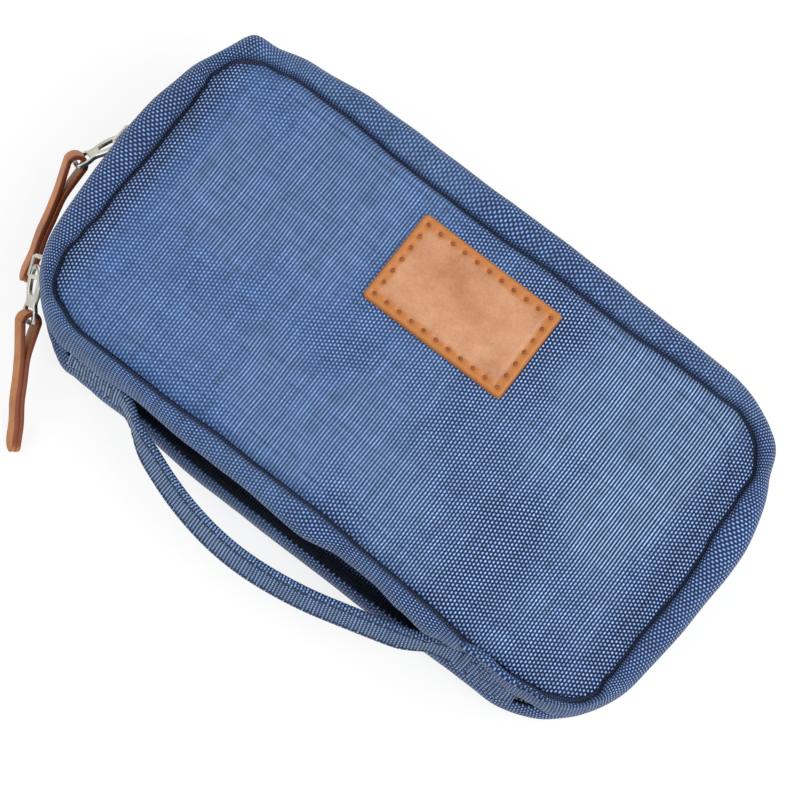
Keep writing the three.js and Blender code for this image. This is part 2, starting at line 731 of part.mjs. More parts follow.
function bridgeGeometry() {
  const [half, room] = [bridgeLength / 2, bridgeRoom];
  const top = room + bridgeThickness;
  const shape = new THREE.Shape([
    [-half, -sliderPlate / 2], [bridgeLeg - half, -sliderPlate / 2], [bridgeLeg - half, room],
    [half - bridgeLeg, room], [half - bridgeLeg, -sliderPlate / 2], [half, -sliderPlate / 2],
    [half, top - bridgeThickness], [half - bridgeThickness, top], [bridgeThickness - half, top],
    [-half, top - bridgeThickness],
  ].map(([u, w]) => new THREE.Vector2(u, w)));
  const bridge = extruded(shape, bridgeWidth).translate(0, 0, -bridgeWidth / 2);
  return bridge.rotateX(Math.PI / 2).translate(0, 0, sliderPlate - plateInset);
}

function sliderGeometry(station, headSide) {
  const body = joined([
    plateGeometry(-plateInset), plateGeometry(-chainInset - sliderRoom / 2 - sliderPlate),
    lipGeometry(-1), lipGeometry(1), wedgeGeometry(), bridgeGeometry(),
  ]);
  const { u, v, w } = sliderAxes(station);
  const place = new THREE.Matrix4().makeBasis(u.clone().multiplyScalar(headSide), v, w);
  place.setPosition(station.x, station.y, zipMiddle);
  return facingOut(body.applyMatrix4(place));
}

// At the sliders u points along the left end towards the strap side.
function sliderAxes({ normal }) {
  const w = new THREE.Vector3(normal.x, normal.y, 0);
  const v = new THREE.Vector3(0, 0, 1);
  return { u: v.clone().cross(w), v, w };
}

// Where a pull hangs from its slider, the axis of its two bars and the way it points at a given swing.
function pullAxes(station) {
  const { u, v, w } = sliderAxes(station);
  const down = u.clone().multiplyScalar(Math.cos(pullDroop)).addScaledVector(v, -Math.sin(pullDroop));
  const up = u.clone().multiplyScalar(Math.sin(pullDroop)).addScaledVector(v, Math.cos(pullDroop));
  const axis = up.clone().multiplyScalar(Math.cos(pullRoll)).addScaledVector(w, -Math.sin(pullRoll));
  const out = w.clone().multiplyScalar(Math.cos(pullRoll)).addScaledVector(up, Math.sin(pullRoll));
  const rise = sliderPlate - plateInset + pullRise;
  const pivot = new THREE.Vector3(station.x, station.y, zipMiddle).addScaledVector(w, rise);
  const swung = (degrees) => {
    const angle = THREE.MathUtils.degToRad(degrees);
    return down.clone().multiplyScalar(Math.cos(angle)).addScaledVector(out, Math.sin(angle));
  };
  const bar = (swing) => pivot.clone().addScaledVector(swung(swing), ringLength);
  return { axis, pivot, swung, bar };
}

function windowPath(middle, halfLength, halfWidth) {
  const count = roundSteps * 3;
  return new THREE.Path(Array.from({ length: count }, (_, i) => {
    const angle = Math.PI * 2 * i / count;
    const wide = Math.sign(Math.sin(angle)) * Math.abs(Math.sin(angle)) ** windowFullness;
    return new THREE.Vector2(middle + halfLength * Math.cos(angle), halfWidth * wide);
  }));
}

// Ring plate: an oval round the window, a waist, and a rounded loop round the link slot.
function ringShape() {
  const windowMiddle = (ringBar + ringWindowLength) / 2;
  const ovalHalf = ringWindowLength / 2 + ringBar;
  const end = ringLength + linkBar / 2;
  const slotStart = ringLength - linkBar / 2 - linkSlotLength;
  const waist = (windowMiddle + ovalHalf + slotStart) / 2 - ringBar / 2;
  const shape = new THREE.Shape();
  const topArc = (from, to, steps) => Array.from({ length: steps + 1 }, (_, i) => {
    const angle = from + (to - from) * i / steps;
    return [windowMiddle - ovalHalf * Math.cos(angle), ringHalfWidth * Math.sin(angle)];
  });
  const half = topArc(0, Math.PI * ovalTurnShare, roundSteps + 2);
  half.push([waist, ringWaistHalfWidth], [slotStart, linkHalfWidth - resolution]);
  half.push([end - linkBar, linkHalfWidth], [end, linkHalfWidth - linkBar]);
  const mirrored = half.slice(1).reverse().map(([s, h]) => [s, -h]);
  [...half, ...mirrored].forEach(([s, h], i) => (i === 0 ? shape.moveTo(s, h) : shape.lineTo(s, h)));
  shape.closePath();
  shape.holes.push(windowPath(windowMiddle, ringWindowLength / 2, ringWindowHalfWidth));
  const slot = [[slotStart, -linkSlotHalfWidth], [slotStart + linkSlotLength, -linkSlotHalfWidth],
    [slotStart + linkSlotLength, linkSlotHalfWidth], [slotStart, linkSlotHalfWidth]];
  shape.holes.push(new THREE.Path(slot.map(([s, h]) => new THREE.Vector2(s, h))));
  return shape;
}

function placed(geometry, first, second, origin) {
  const third = first.clone().cross(second);
  const place = new THREE.Matrix4().makeBasis(first, second, third).setPosition(origin);
  return facingOut(meshOf(solidOf(geometry)).applyMatrix4(place));
}

function pullRingGeometry(station, swing) {
  const { axis, pivot, swung } = pullAxes(station);
  const plate = extruded(ringShape(), ringThickness).translate(0, 0, -ringThickness / 2);
  return placed(plate, swung(swing), axis, pivot);
}

// Leather strip seen along the bar: an eye round it, then two layers lying on each other.
function leatherShape() {
  const half = leatherThickness / 2;
  const turn = Math.acos(leatherEyeRadius / leatherNeck);
  const eye = Array.from({ length: roundSteps * 2 + 1 }, (_, i) => {
    const angle = turn + (Math.PI * 2 - 2 * turn) * i / (roundSteps * 2);
    return [leatherEyeRadius * Math.cos(angle), leatherEyeRadius * Math.sin(angle)];
  });
  const tip = [[leatherLength - half, -half], [leatherLength, -half / 2], [leatherLength, half / 2],
    [leatherLength - half, half]];
  const contour = [...eye, [leatherNeck, -half], ...tip, [leatherNeck, half]];
  const shape = new THREE.Shape(contour.map(([p, q]) => new THREE.Vector2(p, q)));
  const holeEnd = leatherNeck * leatherHoleShare;
  const holeTurn = Math.acos(leatherEyeHole / holeEnd);
  const hole = Array.from({ length: roundSteps * 2 + 1 }, (_, i) => {
    const angle = holeTurn + (Math.PI * 2 - 2 * holeTurn) * i / (roundSteps * 2);
    return [leatherEyeHole * Math.cos(angle), leatherEyeHole * Math.sin(angle)];
  });
  shape.holes.push(new THREE.Path([...hole, [holeEnd, 0]].map(([p, q]) => new THREE.Vector2(p, q))));
  return shape;
}

function leatherGeometry(station, [ringSwing, swing]) {
  const { axis, swung, bar } = pullAxes(station);
  const strip = extruded(leatherShape(), leatherWidth).translate(0, 0, -leatherWidth / 2);
  return placed(strip, swung(swing), axis.clone().cross(swung(swing)), bar(ringSwing));
}

// Label: rounded leather tile that follows the front panel's crown.
function roundedLoop(length, width, corner) {
  const loop = [];
  const centres = [[1, -1], [1, 1], [-1, 1], [-1, -1]];
  centres.forEach(([sx, sy], quarter) => {
    for (let i = 0; i <= roundSteps / 2; i += 1) {
      const angle = Math.PI / 2 * (quarter - 1 + i / (roundSteps / 2));
      loop.push([sx * (length / 2 - corner) + corner * Math.cos(angle),
        sy * (width / 2 - corner) + corner * Math.sin(angle)]);
    }
  });
  return loop;
}

function labelLoop(shrink, share, lift) {
  const loop = roundedLoop(labelLength - 2 * shrink, labelWidth - 2 * shrink, labelCorner);
  return loop.map(([x, y]) => {
    const [px, py] = [labelX + x * share, labelY + y * share];
    return [px, py, caseHeight + seat / 2 + lift + crownAt(px, py)];
  });
}

function labelGeometry() {
  const rings = (lift) => labelRingShares.map((share) => labelLoop(0, share, lift));
  return stackGeometry([
    ...rings(0), labelLoop(0, 1, 0), labelLoop(0, 1, labelThickness - labelBevel),
    labelLoop(labelBevel, 1, labelThickness), ...rings(labelThickness).reverse(),
  ]);
}

// Elastic band or loop standing on the back lining: flat feet and an arch between them.
function bandGeometry({ x, y, width, span, rise, power }) {
  const floor = caseHeight - liningFace + seat + bandThickness / 2;
  const arch = Array.from({ length: bandSteps + 1 }, (_, i) => {
    const angle = Math.PI * (1 - i / bandSteps);
    const bend = (value) => Math.sign(value) * Math.abs(value) ** (2 / power);
    return [span / 2 * bend(Math.cos(angle)), rise * bend(Math.sin(angle))];
  });
  const path = [[-span / 2 - bandFoot, 0], ...arch, [span / 2 + bandFoot, 0]];
  const sections = path.map((point, i) => {
    const before = path[Math.max(i - 1, 0)];
    const after = path[Math.min(i + 1, path.length - 1)];
    const into = new THREE.Vector2(point[0] - before[0], point[1] - before[1]).normalize();
    const out = new THREE.Vector2(after[0] - point[0], after[1] - point[1]).normalize();
    const tangent = into.clone().add(out).normalize();
    const spread = bandThickness / 2 / Math.max(tangent.dot(i === 0 ? out : into), Math.SQRT1_2);
    const [ny, nz] = [-tangent.y * spread, tangent.x * spread];
    const at = (side, face) => [x + side * width / 2, y + point[0] + face * ny, floor + point[1] + face * nz];
    return [at(-1, -1), at(1, -1), at(1, 1), at(-1, 1)];
  });
  return stripGeometry(sections);
}

// Sheet under the crowned front lining, over a rectangle of the panel.
function underLiningGeometry(x, y, drop, thickness) {
  const columns = 8;
  const rows = 3;
  const perimeter = [];
  const at = (i, j) => [x[0] + (x[1] - x[0]) * i / columns, y[0] + (y[1] - y[0]) * j / rows];
  const loopAt = (j) => Array.from({ length: columns + 1 }, (_, i) => at(i, j));
  const face = (lift) => Array.from({ length: rows + 1 }, (_, j) => loopAt(j).map(
    ([px, py]) => asFront([px, py, liningFace - drop - lift + crownAt(px, py)])));
  const [top, bottom] = [face(0), face(thickness)];
  for (let i = 0; i <= columns; i += 1) {
    perimeter.push([...top.map((row) => row[i]), ...bottom.map((row) => row[i]).reverse()]);
  }
  const count = perimeter[0].length;
  const faces = loopFaces(perimeter, false);
  [0, columns * count].forEach((start, end) => {
    for (let j = 0; j < rows; j += 1) {
      const quad = [start + j, start + j + 1, start + count - 2 - j, start + count - 1 - j];
      const turned = end === 0 ? quad.reverse() : quad;
      faces.push([turned[0], turned[1], turned[2]], [turned[0], turned[2], turned[3]]);
    }
  });
  return closedGeometry(perimeter.flat(), faces);
}

halves.forEach(addHalf);
addMesh('spine_panel', spineGeometry(0, spineThickness), 'spine');
addMesh('spine_lining', spineGeometry(spineThickness + seat, spineLiningThickness), 'lining');
addMesh('handle_tab_left', strapEndGeometry(-1), 'strap');
addMesh('handle_tab_right', strapEndGeometry(1), 'strap');
addMesh('handle_strap', strapGeometry(), 'strap');
addMesh('leather_patch', labelGeometry(), 'label');

const farStand = sliderStand(farSliderAt);
const nearStand = sliderStand(nearSliderAt);
addMesh('slider_far', sliderGeometry(farStand, 1), 'metal');
addMesh('slider_near', sliderGeometry(nearStand, -1), 'metal');
addMesh('pull_ring_far', pullRingGeometry(farStand, farPullSwings[0]), 'metal');
addMesh('pull_ring_near', pullRingGeometry(nearStand, nearPullSwings[0]), 'metal');
addMesh('pull_leather_far', leatherGeometry(farStand, farPullSwings), 'leather');
addMesh('pull_leather_near', leatherGeometry(nearStand, nearPullSwings), 'leather');

const meterBand = { y: bandY, width: meterBandWidth, span: meterBandSpan, rise: meterBandRise, power: 5 };
addMesh('meter_band_left', bandGeometry({ ...meterBand, x: meterBandXs[0] }), 'elastic');
addMesh('meter_band_right', bandGeometry({ ...meterBand, x: meterBandXs[1] }), 'elastic');
const penLoop = { y: penLoopY, width: penLoopWidth, span: penLoopSpan, rise: penLoopRise, power: 2.5 };
addMesh('pen_loop_left', bandGeometry({ ...penLoop, x: penLoopXs[0] }), 'elastic');
addMesh('pen_loop_right', bandGeometry({ ...penLoop, x: penLoopXs[1] }), 'elastic');
addMesh('strip_vial_loop', bandGeometry({ x: potLoopX, y: potLoopY, width: potLoopWidth, span: potLoopSpan,
  rise: potLoopRise, power: 2.5 }), 'elastic');

const pocketX = [-pocketHalfLength, pocketHalfLength];
const hemStart = pocketFarY + seat;
addMesh('mesh_pocket', underLiningGeometry(pocketX, [pocketNearY, pocketFarY], pocketDrop, pocketThickness), 'mesh');
addMesh('pocket_hem', underLiningGeometry(pocketX, [hemStart, hemStart + hemWidth], pocketDrop, hemThickness), 'elastic');

export default group;
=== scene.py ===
"""A soft zip case for a glucose meter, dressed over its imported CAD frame.

Two padded halves of woven polyester meet at a coil zip, fold on a cloth spine and carry a
wrist strap, a stitched leather label and two leather zip pulls. Lengths are in millimetres
until a mesh is placed, and every piece lies in the frame's own metres.
"""

import logging
import math
from dataclasses import dataclass
from enum import Enum
from functools import cached_property, partial
from typing import Callable, Iterable, Sequence

import bmesh
import bpy
from mathutils import Matrix, Vector, noise


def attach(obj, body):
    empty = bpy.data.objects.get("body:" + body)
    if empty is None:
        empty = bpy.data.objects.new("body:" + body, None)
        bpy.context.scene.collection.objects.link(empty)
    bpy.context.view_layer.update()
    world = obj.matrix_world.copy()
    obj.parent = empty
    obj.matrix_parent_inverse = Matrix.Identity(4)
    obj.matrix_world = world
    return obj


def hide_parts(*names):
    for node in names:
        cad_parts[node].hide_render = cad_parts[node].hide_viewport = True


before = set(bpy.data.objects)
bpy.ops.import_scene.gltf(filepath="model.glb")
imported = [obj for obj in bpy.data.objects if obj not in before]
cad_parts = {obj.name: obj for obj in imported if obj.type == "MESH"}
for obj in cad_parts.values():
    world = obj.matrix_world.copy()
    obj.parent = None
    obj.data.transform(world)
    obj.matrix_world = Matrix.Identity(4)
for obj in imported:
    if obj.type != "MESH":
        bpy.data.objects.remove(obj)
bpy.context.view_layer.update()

log = logging.getLogger("case")
MM = 0.001
NOISE_LOW, NOISE_HIGH = 0.3, 0.7  # between which slow noise mostly lies
SLIDERS_Y = (7.5, -37.5)  # where the far and the near slider stand on the left end
Pair = tuple[float, float]
Triple = tuple[float, float, float]
Tree = bpy.types.NodeTree
Socket = bpy.types.NodeSocket
Mesh = bmesh.types.BMesh
Setting = float | int | str | bool | tuple
Place = Callable[[int, int], Vector]


# Small tools

def linear(code: str) -> tuple[float, float, float, float]:
    """Turn an sRGB hex colour into linear values.

    Args:
        code: six hex digits after a hash.

    Returns:
        The colour as a shader socket takes it.
    """
    shares = [int(code[i:i + 2], 16) / 255 for i in (1, 3, 5)]
    turned = [share / 12.92 if share <= 0.04045 else ((share + 0.055) / 1.055) ** 2.4 for share in shares]
    return (*turned, 1.0)


def feed(tree: Tree, node: bpy.types.Node, inputs: dict[int | str, object]) -> None:
    """Set a node's inputs to values, or link them.

    Args:
        tree: the node tree that the node is in.
        node: the node.
        inputs: for each input, a value, or the output or the node with the first output that feeds it.
    """
    for name, value in inputs.items():
        if isinstance(value, bpy.types.Node):
            value = value.outputs[0]
        if isinstance(value, Socket):
            tree.links.new(value, node.inputs[name])
        else:
            node.inputs[name].default_value = value


def add_node(tree: Tree, kind: str, settings: dict[str, Setting] | None = None,
             inputs: dict[int | str, object] | None = None) -> bpy.types.Node:
    """Add a node with its settings, its socket values and its links.

    Args:
        tree: the node tree it goes into.
        kind: the node's type without its ShaderNode prefix.
        settings: properties of the node.
        inputs: for each input, what feed takes.

    Returns:
        The new node.
    """
    node = tree.nodes.new(f"ShaderNode{kind}")
    for name, value in (settings or {}).items():
        setattr(node, name, value)
    feed(tree, node, inputs or {})
    return node


def smooth(value: float) -> float:
    """Ease a share from 0 to 1."""
    share = min(max(value, 0.0), 1.0)
    return share * share * (3 - 2 * share)


def eased(value: float, start: float, span: float) -> float:
    """Ease from 0 where a value passes start to 1 a span further on."""
    return smooth((value - start) / span)


def hump(share: float) -> float:
    """A round hump: 1 in its middle, 0 from a share of 1 on either side."""
    return max(0.0, math.cos(math.pi / 2 * min(1.0, abs(share))))


def wave(x: float, y: float, z: float, size: float) -> float:
    """Soft noise between about -1 and 1 whose waves are size millimetres long."""
    return noise.noise(Vector((x / size, y / size, z / size))) * 1.6


def curve_through(points: Sequence[Pair], count: int) -> list[Pair]:
    """Sample a smooth curve through points of a profile.

    Args:
        points: the profile's own points.
        count: how many stretches the result has.

    Returns:
        count + 1 points, evenly spaced in the profile's own parameter.
    """
    made = []
    last = len(points) - 1
    for step in range(count + 1):
        at = step / count * last
        i = min(int(at), last - 1)
        t = at - i
        a, b, c, d = (points[min(max(k, 0), last)] for k in (i - 1, i, i + 1, i + 2))
        made.append(tuple(
            0.5 * (2 * b[k] + (c[k] - a[k]) * t + (2 * a[k] - 5 * b[k] + 4 * c[k] - d[k]) * t ** 2
                   + (3 * b[k] - a[k] - 3 * c[k] + d[k]) * t ** 3)
            for k in (0, 1)))
    return made


def between(marks: Sequence[Pair], at: float, whole: float) -> float:
    """Ease between values that are marked along a closed length.

    Args:
        marks: places and values, in order.
        at: the place asked for.
        whole: the closed length.

    Returns:
        The value there.
    """
    at %= whole
    spots = [(marks[-1][0] - whole, marks[-1][1]), *marks, (marks[0][0] + whole, marks[0][1])]
    for (start, low), (end, high) in zip(spots, spots[1:]):
        if at <= end:
            return low + (high - low) * smooth((at - start) / (end - start))
    return marks[-1][1]


def lengths_along(points: Sequence[Vector]) -> list[float]:
    """Running length of a chain of points.

    Args:
        points: the chain.

    Returns:
        The length up to each point, nothing at the first.
    """
    total = [0.0]
    for before, after in zip(points, points[1:]):
        total.append(total[-1] + (after - before).length)
    return total


def heading(points: Sequence[Vector], i: int) -> Vector:
    """Unit direction of a chain of points at its point i."""
    return (points[min(i + 1, len(points) - 1)] - points[max(i - 1, 0)]).normalized()


# Meshes

def bent_grid(columns: int, rows: int, place: Place, spread: Place | None = None,
              flip: bool = False, worn: Callable[[int, int], float] | None = None) -> Mesh:
    """Bend a flat grid into a sheet.

    Args:
        columns: cells along the first direction.
        rows: cells along the second.
        place: gives the point in millimetres of a column and row number.
        spread: gives the cloth's own flat coordinates, in metres, of the same numbers.
        flip: turns the faces round.
        worn: gives how worn or burnished the surface is there, from 0 to 1.

    Returns:
        The sheet, in metres.
    """
    mesh = bmesh.new()
    bmesh.ops.create_grid(mesh, x_segments=columns, y_segments=rows, size=0.5)
    mark = mesh.verts.layers.float.new("worn") if worn is not None else None
    number = {vert: (round((vert.co.x + 0.5) * columns), round((vert.co.y + 0.5) * rows))
              for vert in mesh.verts}
    if spread is not None:
        layer = mesh.loops.layers.uv.new("cloth")
        for face in mesh.faces:
            for loop in face.loops:
                loop[layer].uv = spread(*number[loop.vert])[:2]
    for vert, (i, j) in number.items():
        if mark is not None:
            vert[mark] = worn(i, j)
        vert.co = place(i, j) * MM
    if flip:
        bmesh.ops.reverse_faces(mesh, faces=mesh.faces)
    return mesh


def merged(mesh: Mesh, near: float = 0.002) -> Mesh:
    """Merge the points of a mesh that lie within near millimetres of each other."""
    bmesh.ops.remove_doubles(mesh, verts=mesh.verts, dist=near * MM)
    return mesh


def closed(mesh: Mesh) -> Mesh:
    """Merge a swept tube's seam, cap its open ends and face it outwards.

    Args:
        mesh: the tube.

    Returns:
        The same mesh.
    """
    merged(mesh)
    rims = [edge for edge in mesh.edges if edge.is_boundary]
    if rims:
        bmesh.ops.holes_fill(mesh, edges=rims, sides=0)
    bmesh.ops.recalc_face_normals(mesh, faces=mesh.faces)
    return mesh


def joined(meshes: Iterable[Mesh]) -> Mesh:
    """Put several meshes into one and free them.

    Args:
        meshes: the meshes, freed here.

    Returns:
        The one mesh.
    """
    whole = bmesh.new()
    whole.loops.layers.uv.new("cloth")
    for mesh in meshes:
        holder = bpy.data.meshes.new("part")
        mesh.to_mesh(holder)
        mesh.free()
        whole.from_mesh(holder)
        bpy.data.meshes.remove(holder)
    return whole


def swept(path: Sequence[Vector], across: Sequence[Vector], up: Sequence[Vector],
          section: Callable[[float], Sequence[Pair]], loop: bool = False) -> Mesh:
    """Sweep a closed section along a path.

    Args:
        path: centres in millimetres.
        across: the section's first direction at each centre.
        up: its second direction.
        section: the section's points in millimetres at a share of the path.
        loop: whether the path closes on itself.

    Returns:
        A closed tube with the flat coordinates of its skin.
    """
    count = len(path) - (0 if loop else 1)
    rings = [section(i / count) for i in range(len(path))]
    sides = len(rings[0])
    run = lengths_along(path)
    girth = lengths_along([Vector((*point, 0)) for point in [*rings[0], rings[0][0]]])

    def place(i: int, j: int) -> Vector:
        """Point of the tube's skin."""
        k = i % len(path)
        a, b = rings[k][j % sides]
        return path[k] + across[k] * a + up[k] * b

    def spread(i: int, j: int) -> Vector:
        """Flat place of the same point."""
        return Vector((run[min(i, len(run) - 1)], girth[j], 0)) * MM

    return closed(bent_grid(count, sides, place, spread))


def rounded_section(width: float, thickness: float, corner: float, steps: int = 3,
                    puff: float = 0.0, cuts: int = 4) -> list[Pair]:
    """Rounded rectangle, its two faces bulging a little.

    Args:
        width: its first measure.
        thickness: its second.
        corner: the radius of its corners.
        steps: cells in each corner.
        puff: how far the faces bulge.
        cuts: cells across each face.

    Returns:
        The section's points, anticlockwise.
    """
    points = []
    centres = ((1, 1), (-1, 1), (-1, -1), (1, -1))
    for quarter, (sx, sy) in enumerate(centres):
        for step in range(steps + 1):
            angle = math.pi / 2 * (quarter + step / steps)
            points.append((sx * (width / 2 - corner) + corner * math.cos(angle),
                           sy * (thickness / 2 - corner) + corner * math.sin(angle)))
        if quarter in (0, 2):
            flat = width / 2 - corner
            for cut in range(1, cuts):
                share = 1 - 2 * cut / cuts
                points.append((sx * flat * share, sy * (thickness / 2 + puff * (1 - share ** 2))))
    return points


class Finish:
    """A surface that a piece can be given."""

    name: str

    def dress(self, tree: Tree, shader: bpy.types.Node) -> None:
        """Build the finish's nodes round its shader."""
        raise NotImplementedError

    @cached_property
    def material(self) -> bpy.types.Material:
        """The material, made once."""
        made = bpy.data.materials.new(self.name)
        made.use_nodes = True
        tree = made.node_tree
        tree.nodes.clear()
        shader = add_node(tree, "BsdfPrincipled")
        output = add_node(tree, "OutputMaterial")
        tree.links.new(shader.outputs["BSDF"], output.inputs["Surface"])
        self.dress(tree, shader)
        return made


def add_piece(name: str, mesh: Mesh, finish: Finish, body: str, nodes: Sequence[str] = (),
              slot: str | None = None, thickness: float = 0.0, sharp: float = 50.0,
              rounding: float = 0.0) -> bpy.types.Object:
    """Make an object of a finished mesh and tie it to the frame.

    Args:
        name: the piece's name.
        mesh: its mesh in metres, freed here.
        finish: its surface.
        body: the CAD body it rides on.
        nodes: the CAD nodes it stands for.
        slot: a material slot's name; not used.
        thickness: millimetres of wall laid on the inner side of a sheet.
        sharp: degrees past which an edge stays crisp.
        rounding: millimetres of bevel on the crisp edges.

    Returns:
        The object.
    """
    for face in mesh.faces:
        face.smooth = True
    for edge in mesh.edges:
        edge.smooth = not (edge.is_manifold and edge.calc_face_angle(0.0) > math.radians(sharp))
    data = bpy.data.meshes.new(name)
    mesh.to_mesh(data)
    mesh.free()
    data.materials.append(finish.material)
    made = bpy.data.objects.new(name, data)
    bpy.context.scene.collection.objects.link(made)
    if thickness:
        wall = made.modifiers.new("wall", "SOLIDIFY")
        wall.thickness = thickness * MM
        wall.offset = -1
    if rounding:
        edge_round = made.modifiers.new("rounding", "BEVEL")
        edge_round.width = rounding * MM
        edge_round.segments = 2
        edge_round.limit_method = "ANGLE"
        edge_round.angle_limit = math.radians(sharp)
    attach(made, body)
    if nodes:
        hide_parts(*nodes)
    log.info("%s rides on %s, %d faces", name, body, len(data.polygons))
    return made


# Finishes

@dataclass(frozen=True)
class Weave(Finish):
    """Woven polyester of two crossing thread systems: painted shade in the gaps, painted highlight on the
    floats.
    """

    name: str
    # The first colour is painted shade in the gaps, the third a painted highlight on the crowns, the second
    # the thread's own.
    gap: str
    thread: str
    bright: str
    mean: str  # what the weave blurs to where its threads lie close
    warp: float = 1.03  # mm between ribs
    weft: float = 0.66  # mm between the threads that break them
    flat: bool = False  # follows the cloth's own flat coordinates
    breaks: Pair = (0.12, 0.5)  # how deep the ribs break in their calm and broken areas
    breaks_from: Pair = (0.38, 0.62)  # of the slow noise, where one turns into the other
    calm: Pair = (1.0, 1.0)  # how plainly the threads show on the left and on the right
    calm_span: Pair = (-40.0, 55.0)  # mm along the case, where one turns into the other
    calm_waver: float = 45.0  # mm that this line wavers by
    dotted: Pair = (81.0, 99.0)  # mm from the middle, where ribs turn to dots
    mottle: float = 60.0  # mm, size of the soft changes of shade
    sway: float = 24.0  # mm, length of the threads' slow bends
    bend: float = 1.2  # mm, how far they bend
    pick_height: float = 0.8  # of the picks that show where a rib breaks
    ramp: Triple = (0.34, 0.66, 0.96)  # heights of painted gap shade, thread colour and painted crown highlight
    depth: float = 0.28  # mm of relief
    roughness: float = 0.62
    sheen: float = 0.06
    specular: float = 0.25
    slub: Pair = (0.6, 1.36)  # shade of the yarn's thin and thick stretches
    slub_sizes: tuple[Pair, ...] = ((0.55, 8.0), (9.0, 0.5))  # mm in X and in Y, in ribs and in picks
    seeds: Pair = (3.0, 9.0)  # give ribs and picks shades of their own
    thread_shades: Pair = (0.84, 1.16)  # darkest and lightest thread
    area_shades: Pair = (0.9, 1.1)  # darkest and lightest area
    broken_gain: float = 0.22  # how much lighter the broken areas are, offsetting the painted gap shade of their breaks

    def dress(self, tree: Tree, shader: bpy.types.Node) -> None:
        """Thread heights drive the relief and the colour: painted shade in the gaps, painted highlight on the
        crowns.

        Args:
            tree: the material's node tree.
            shader: the shader that the nodes feed.
        """
        add = partial(add_node, tree)
        place = add("TexCoord").outputs["Object"]
        source = add("UVMap", {"uv_map": "cloth"}).outputs["UV"] if self.flat else place
        change = add("TexNoise", {}, {"Vector": place, "Scale": 1000 / self.mottle, "Detail": 2.0,
                                      "Roughness": 0.6}).outputs["Fac"]
        broken, plain = self.areas(tree, place, change)
        height, rib, pick = self.threads(tree, source, broken)
        shade = add("ValToRGB", {}, {0: height})
        stops = shade.color_ramp.elements
        gap_shade_at, thread_at, crown_highlight_at = self.ramp
        # Painted shade at the lowest heights, painted highlight at the highest.
        stops[0].position, stops[0].color = gap_shade_at, linear(self.gap)
        stops[1].position, stops[1].color = crown_highlight_at, linear(self.bright)
        stops.new(thread_at).color = linear(self.thread)
        blurred = add("Mix", {"data_type": "RGBA"},
                      {"Factor": plain, 6: linear(self.mean), 7: shade.outputs["Color"]})
        value = self.yarn_shade(tree, source, change, broken, (rib, pick))
        colour = add("HueSaturation", {}, {"Color": blurred.outputs[2], "Value": value})
        relief = add("Bump", {}, {"Height": height, "Strength": plain, "Distance": self.depth * MM})
        feed(tree, shader, {"Base Color": colour, "Normal": relief, "Roughness": self.roughness,
                            "Sheen Weight": self.sheen, "Sheen Roughness": 0.5,
                            "Specular IOR Level": self.specular})

    def areas(self, tree: Tree, place: Socket, change: Socket) -> tuple[Socket, Socket]:
        """Where on the case the ribs break and where the threads show plainly.

        Args:
            tree: the material's node tree.
            place: object coordinates.
            change: the slow noise of the changes of shade.

        Returns:
            How deep the ribs break, and how plainly the threads show.
        """
        add = partial(add_node, tree)
        broken = add("MapRange", {"interpolation_type": "SMOOTHSTEP"},
                     {0: change, 1: self.breaks_from[0], 2: self.breaks_from[1], 3: self.breaks[0],
                      4: self.breaks[1]})
        spot = add("SeparateXYZ", {}, {0: place})
        apart = add("Math", {"operation": "ABSOLUTE"}, {0: spot.outputs["X"]})
        ends = add("MapRange", {"interpolation_type": "SMOOTHSTEP"},
                   {0: apart, 1: self.dotted[0] * MM, 2: self.dotted[1] * MM})
        waver = add("MapRange", {}, {0: change, 1: NOISE_LOW, 2: NOISE_HIGH, 3: -self.calm_waver * MM,
                                     4: self.calm_waver * MM})
        along = add("Math", {"operation": "ADD"}, {0: spot.outputs["X"], 1: waver})
        start, end = self.calm_span
        plainer = add("MapRange", {"interpolation_type": "SMOOTHSTEP"},
                      {0: along, 1: start * MM, 2: end * MM, 3: self.calm[0], 4: self.calm[1]})
        most = [add("Math", {"operation": "MAXIMUM"}, {0: area, 1: ends}) for area in (broken, plainer)]
        return most[0].outputs[0], most[1].outputs[0]

    def threads(self, tree: Tree, source: Socket, broken: Socket) -> tuple[Socket, Socket, Socket]:
        """The ribs and the picks that cross them.

        Args:
            tree: the material's node tree.
            source: coordinates that the threads follow.
            broken: how deep the ribs break.

        Returns:
            The threads' height, the rib's number and the pick's number.
        """
        add = partial(add_node, tree)
        sway = add("TexNoise", {}, {"Vector": source, "Scale": 1000 / self.sway, "Detail": 1.0})
        swayed = add("VectorMath", {"operation": "MULTIPLY_ADD"},
                     {0: sway.outputs["Color"], 1: (self.bend * MM,) * 3, 2: source})
        split = add("SeparateXYZ", {}, {0: swayed})
        x = add("Math", {"operation": "MULTIPLY"}, {0: split.outputs["X"], 1: 1000 / self.warp})
        y = add("Math", {"operation": "MULTIPLY"}, {0: split.outputs["Y"], 1: 1000 / self.weft})
        rib = add("Math", {"operation": "FLOOR"}, {0: x})
        pick = add("Math", {"operation": "FLOOR"}, {0: y})
        half_rib = add("Math", {"operation": "MULTIPLY"}, {0: rib, 1: 0.5})
        shifted = add("Math", {"operation": "MULTIPLY_ADD"}, {0: y, 1: 0.5, 2: half_rib})
        across, along, cross = (self.hill(tree, at) for at in (x, shifted, y))
        dips = add("Math", {"operation": "SUBTRACT"}, {0: 1.0, 1: along})
        dip = add("Math", {"operation": "MULTIPLY"}, {0: dips, 1: broken})
        left = add("Math", {"operation": "SUBTRACT"}, {0: 1.0, 1: dip})
        ribs = add("Math", {"operation": "MULTIPLY"}, {0: across, 1: left})
        under = add("Math", {"operation": "MULTIPLY"}, {0: cross, 1: dip})
        picks = add("Math", {"operation": "MULTIPLY"}, {0: under, 1: self.pick_height})
        height = add("Math", {"operation": "MAXIMUM"}, {0: ribs, 1: picks})
        return height.outputs[0], rib.outputs[0], pick.outputs[0]

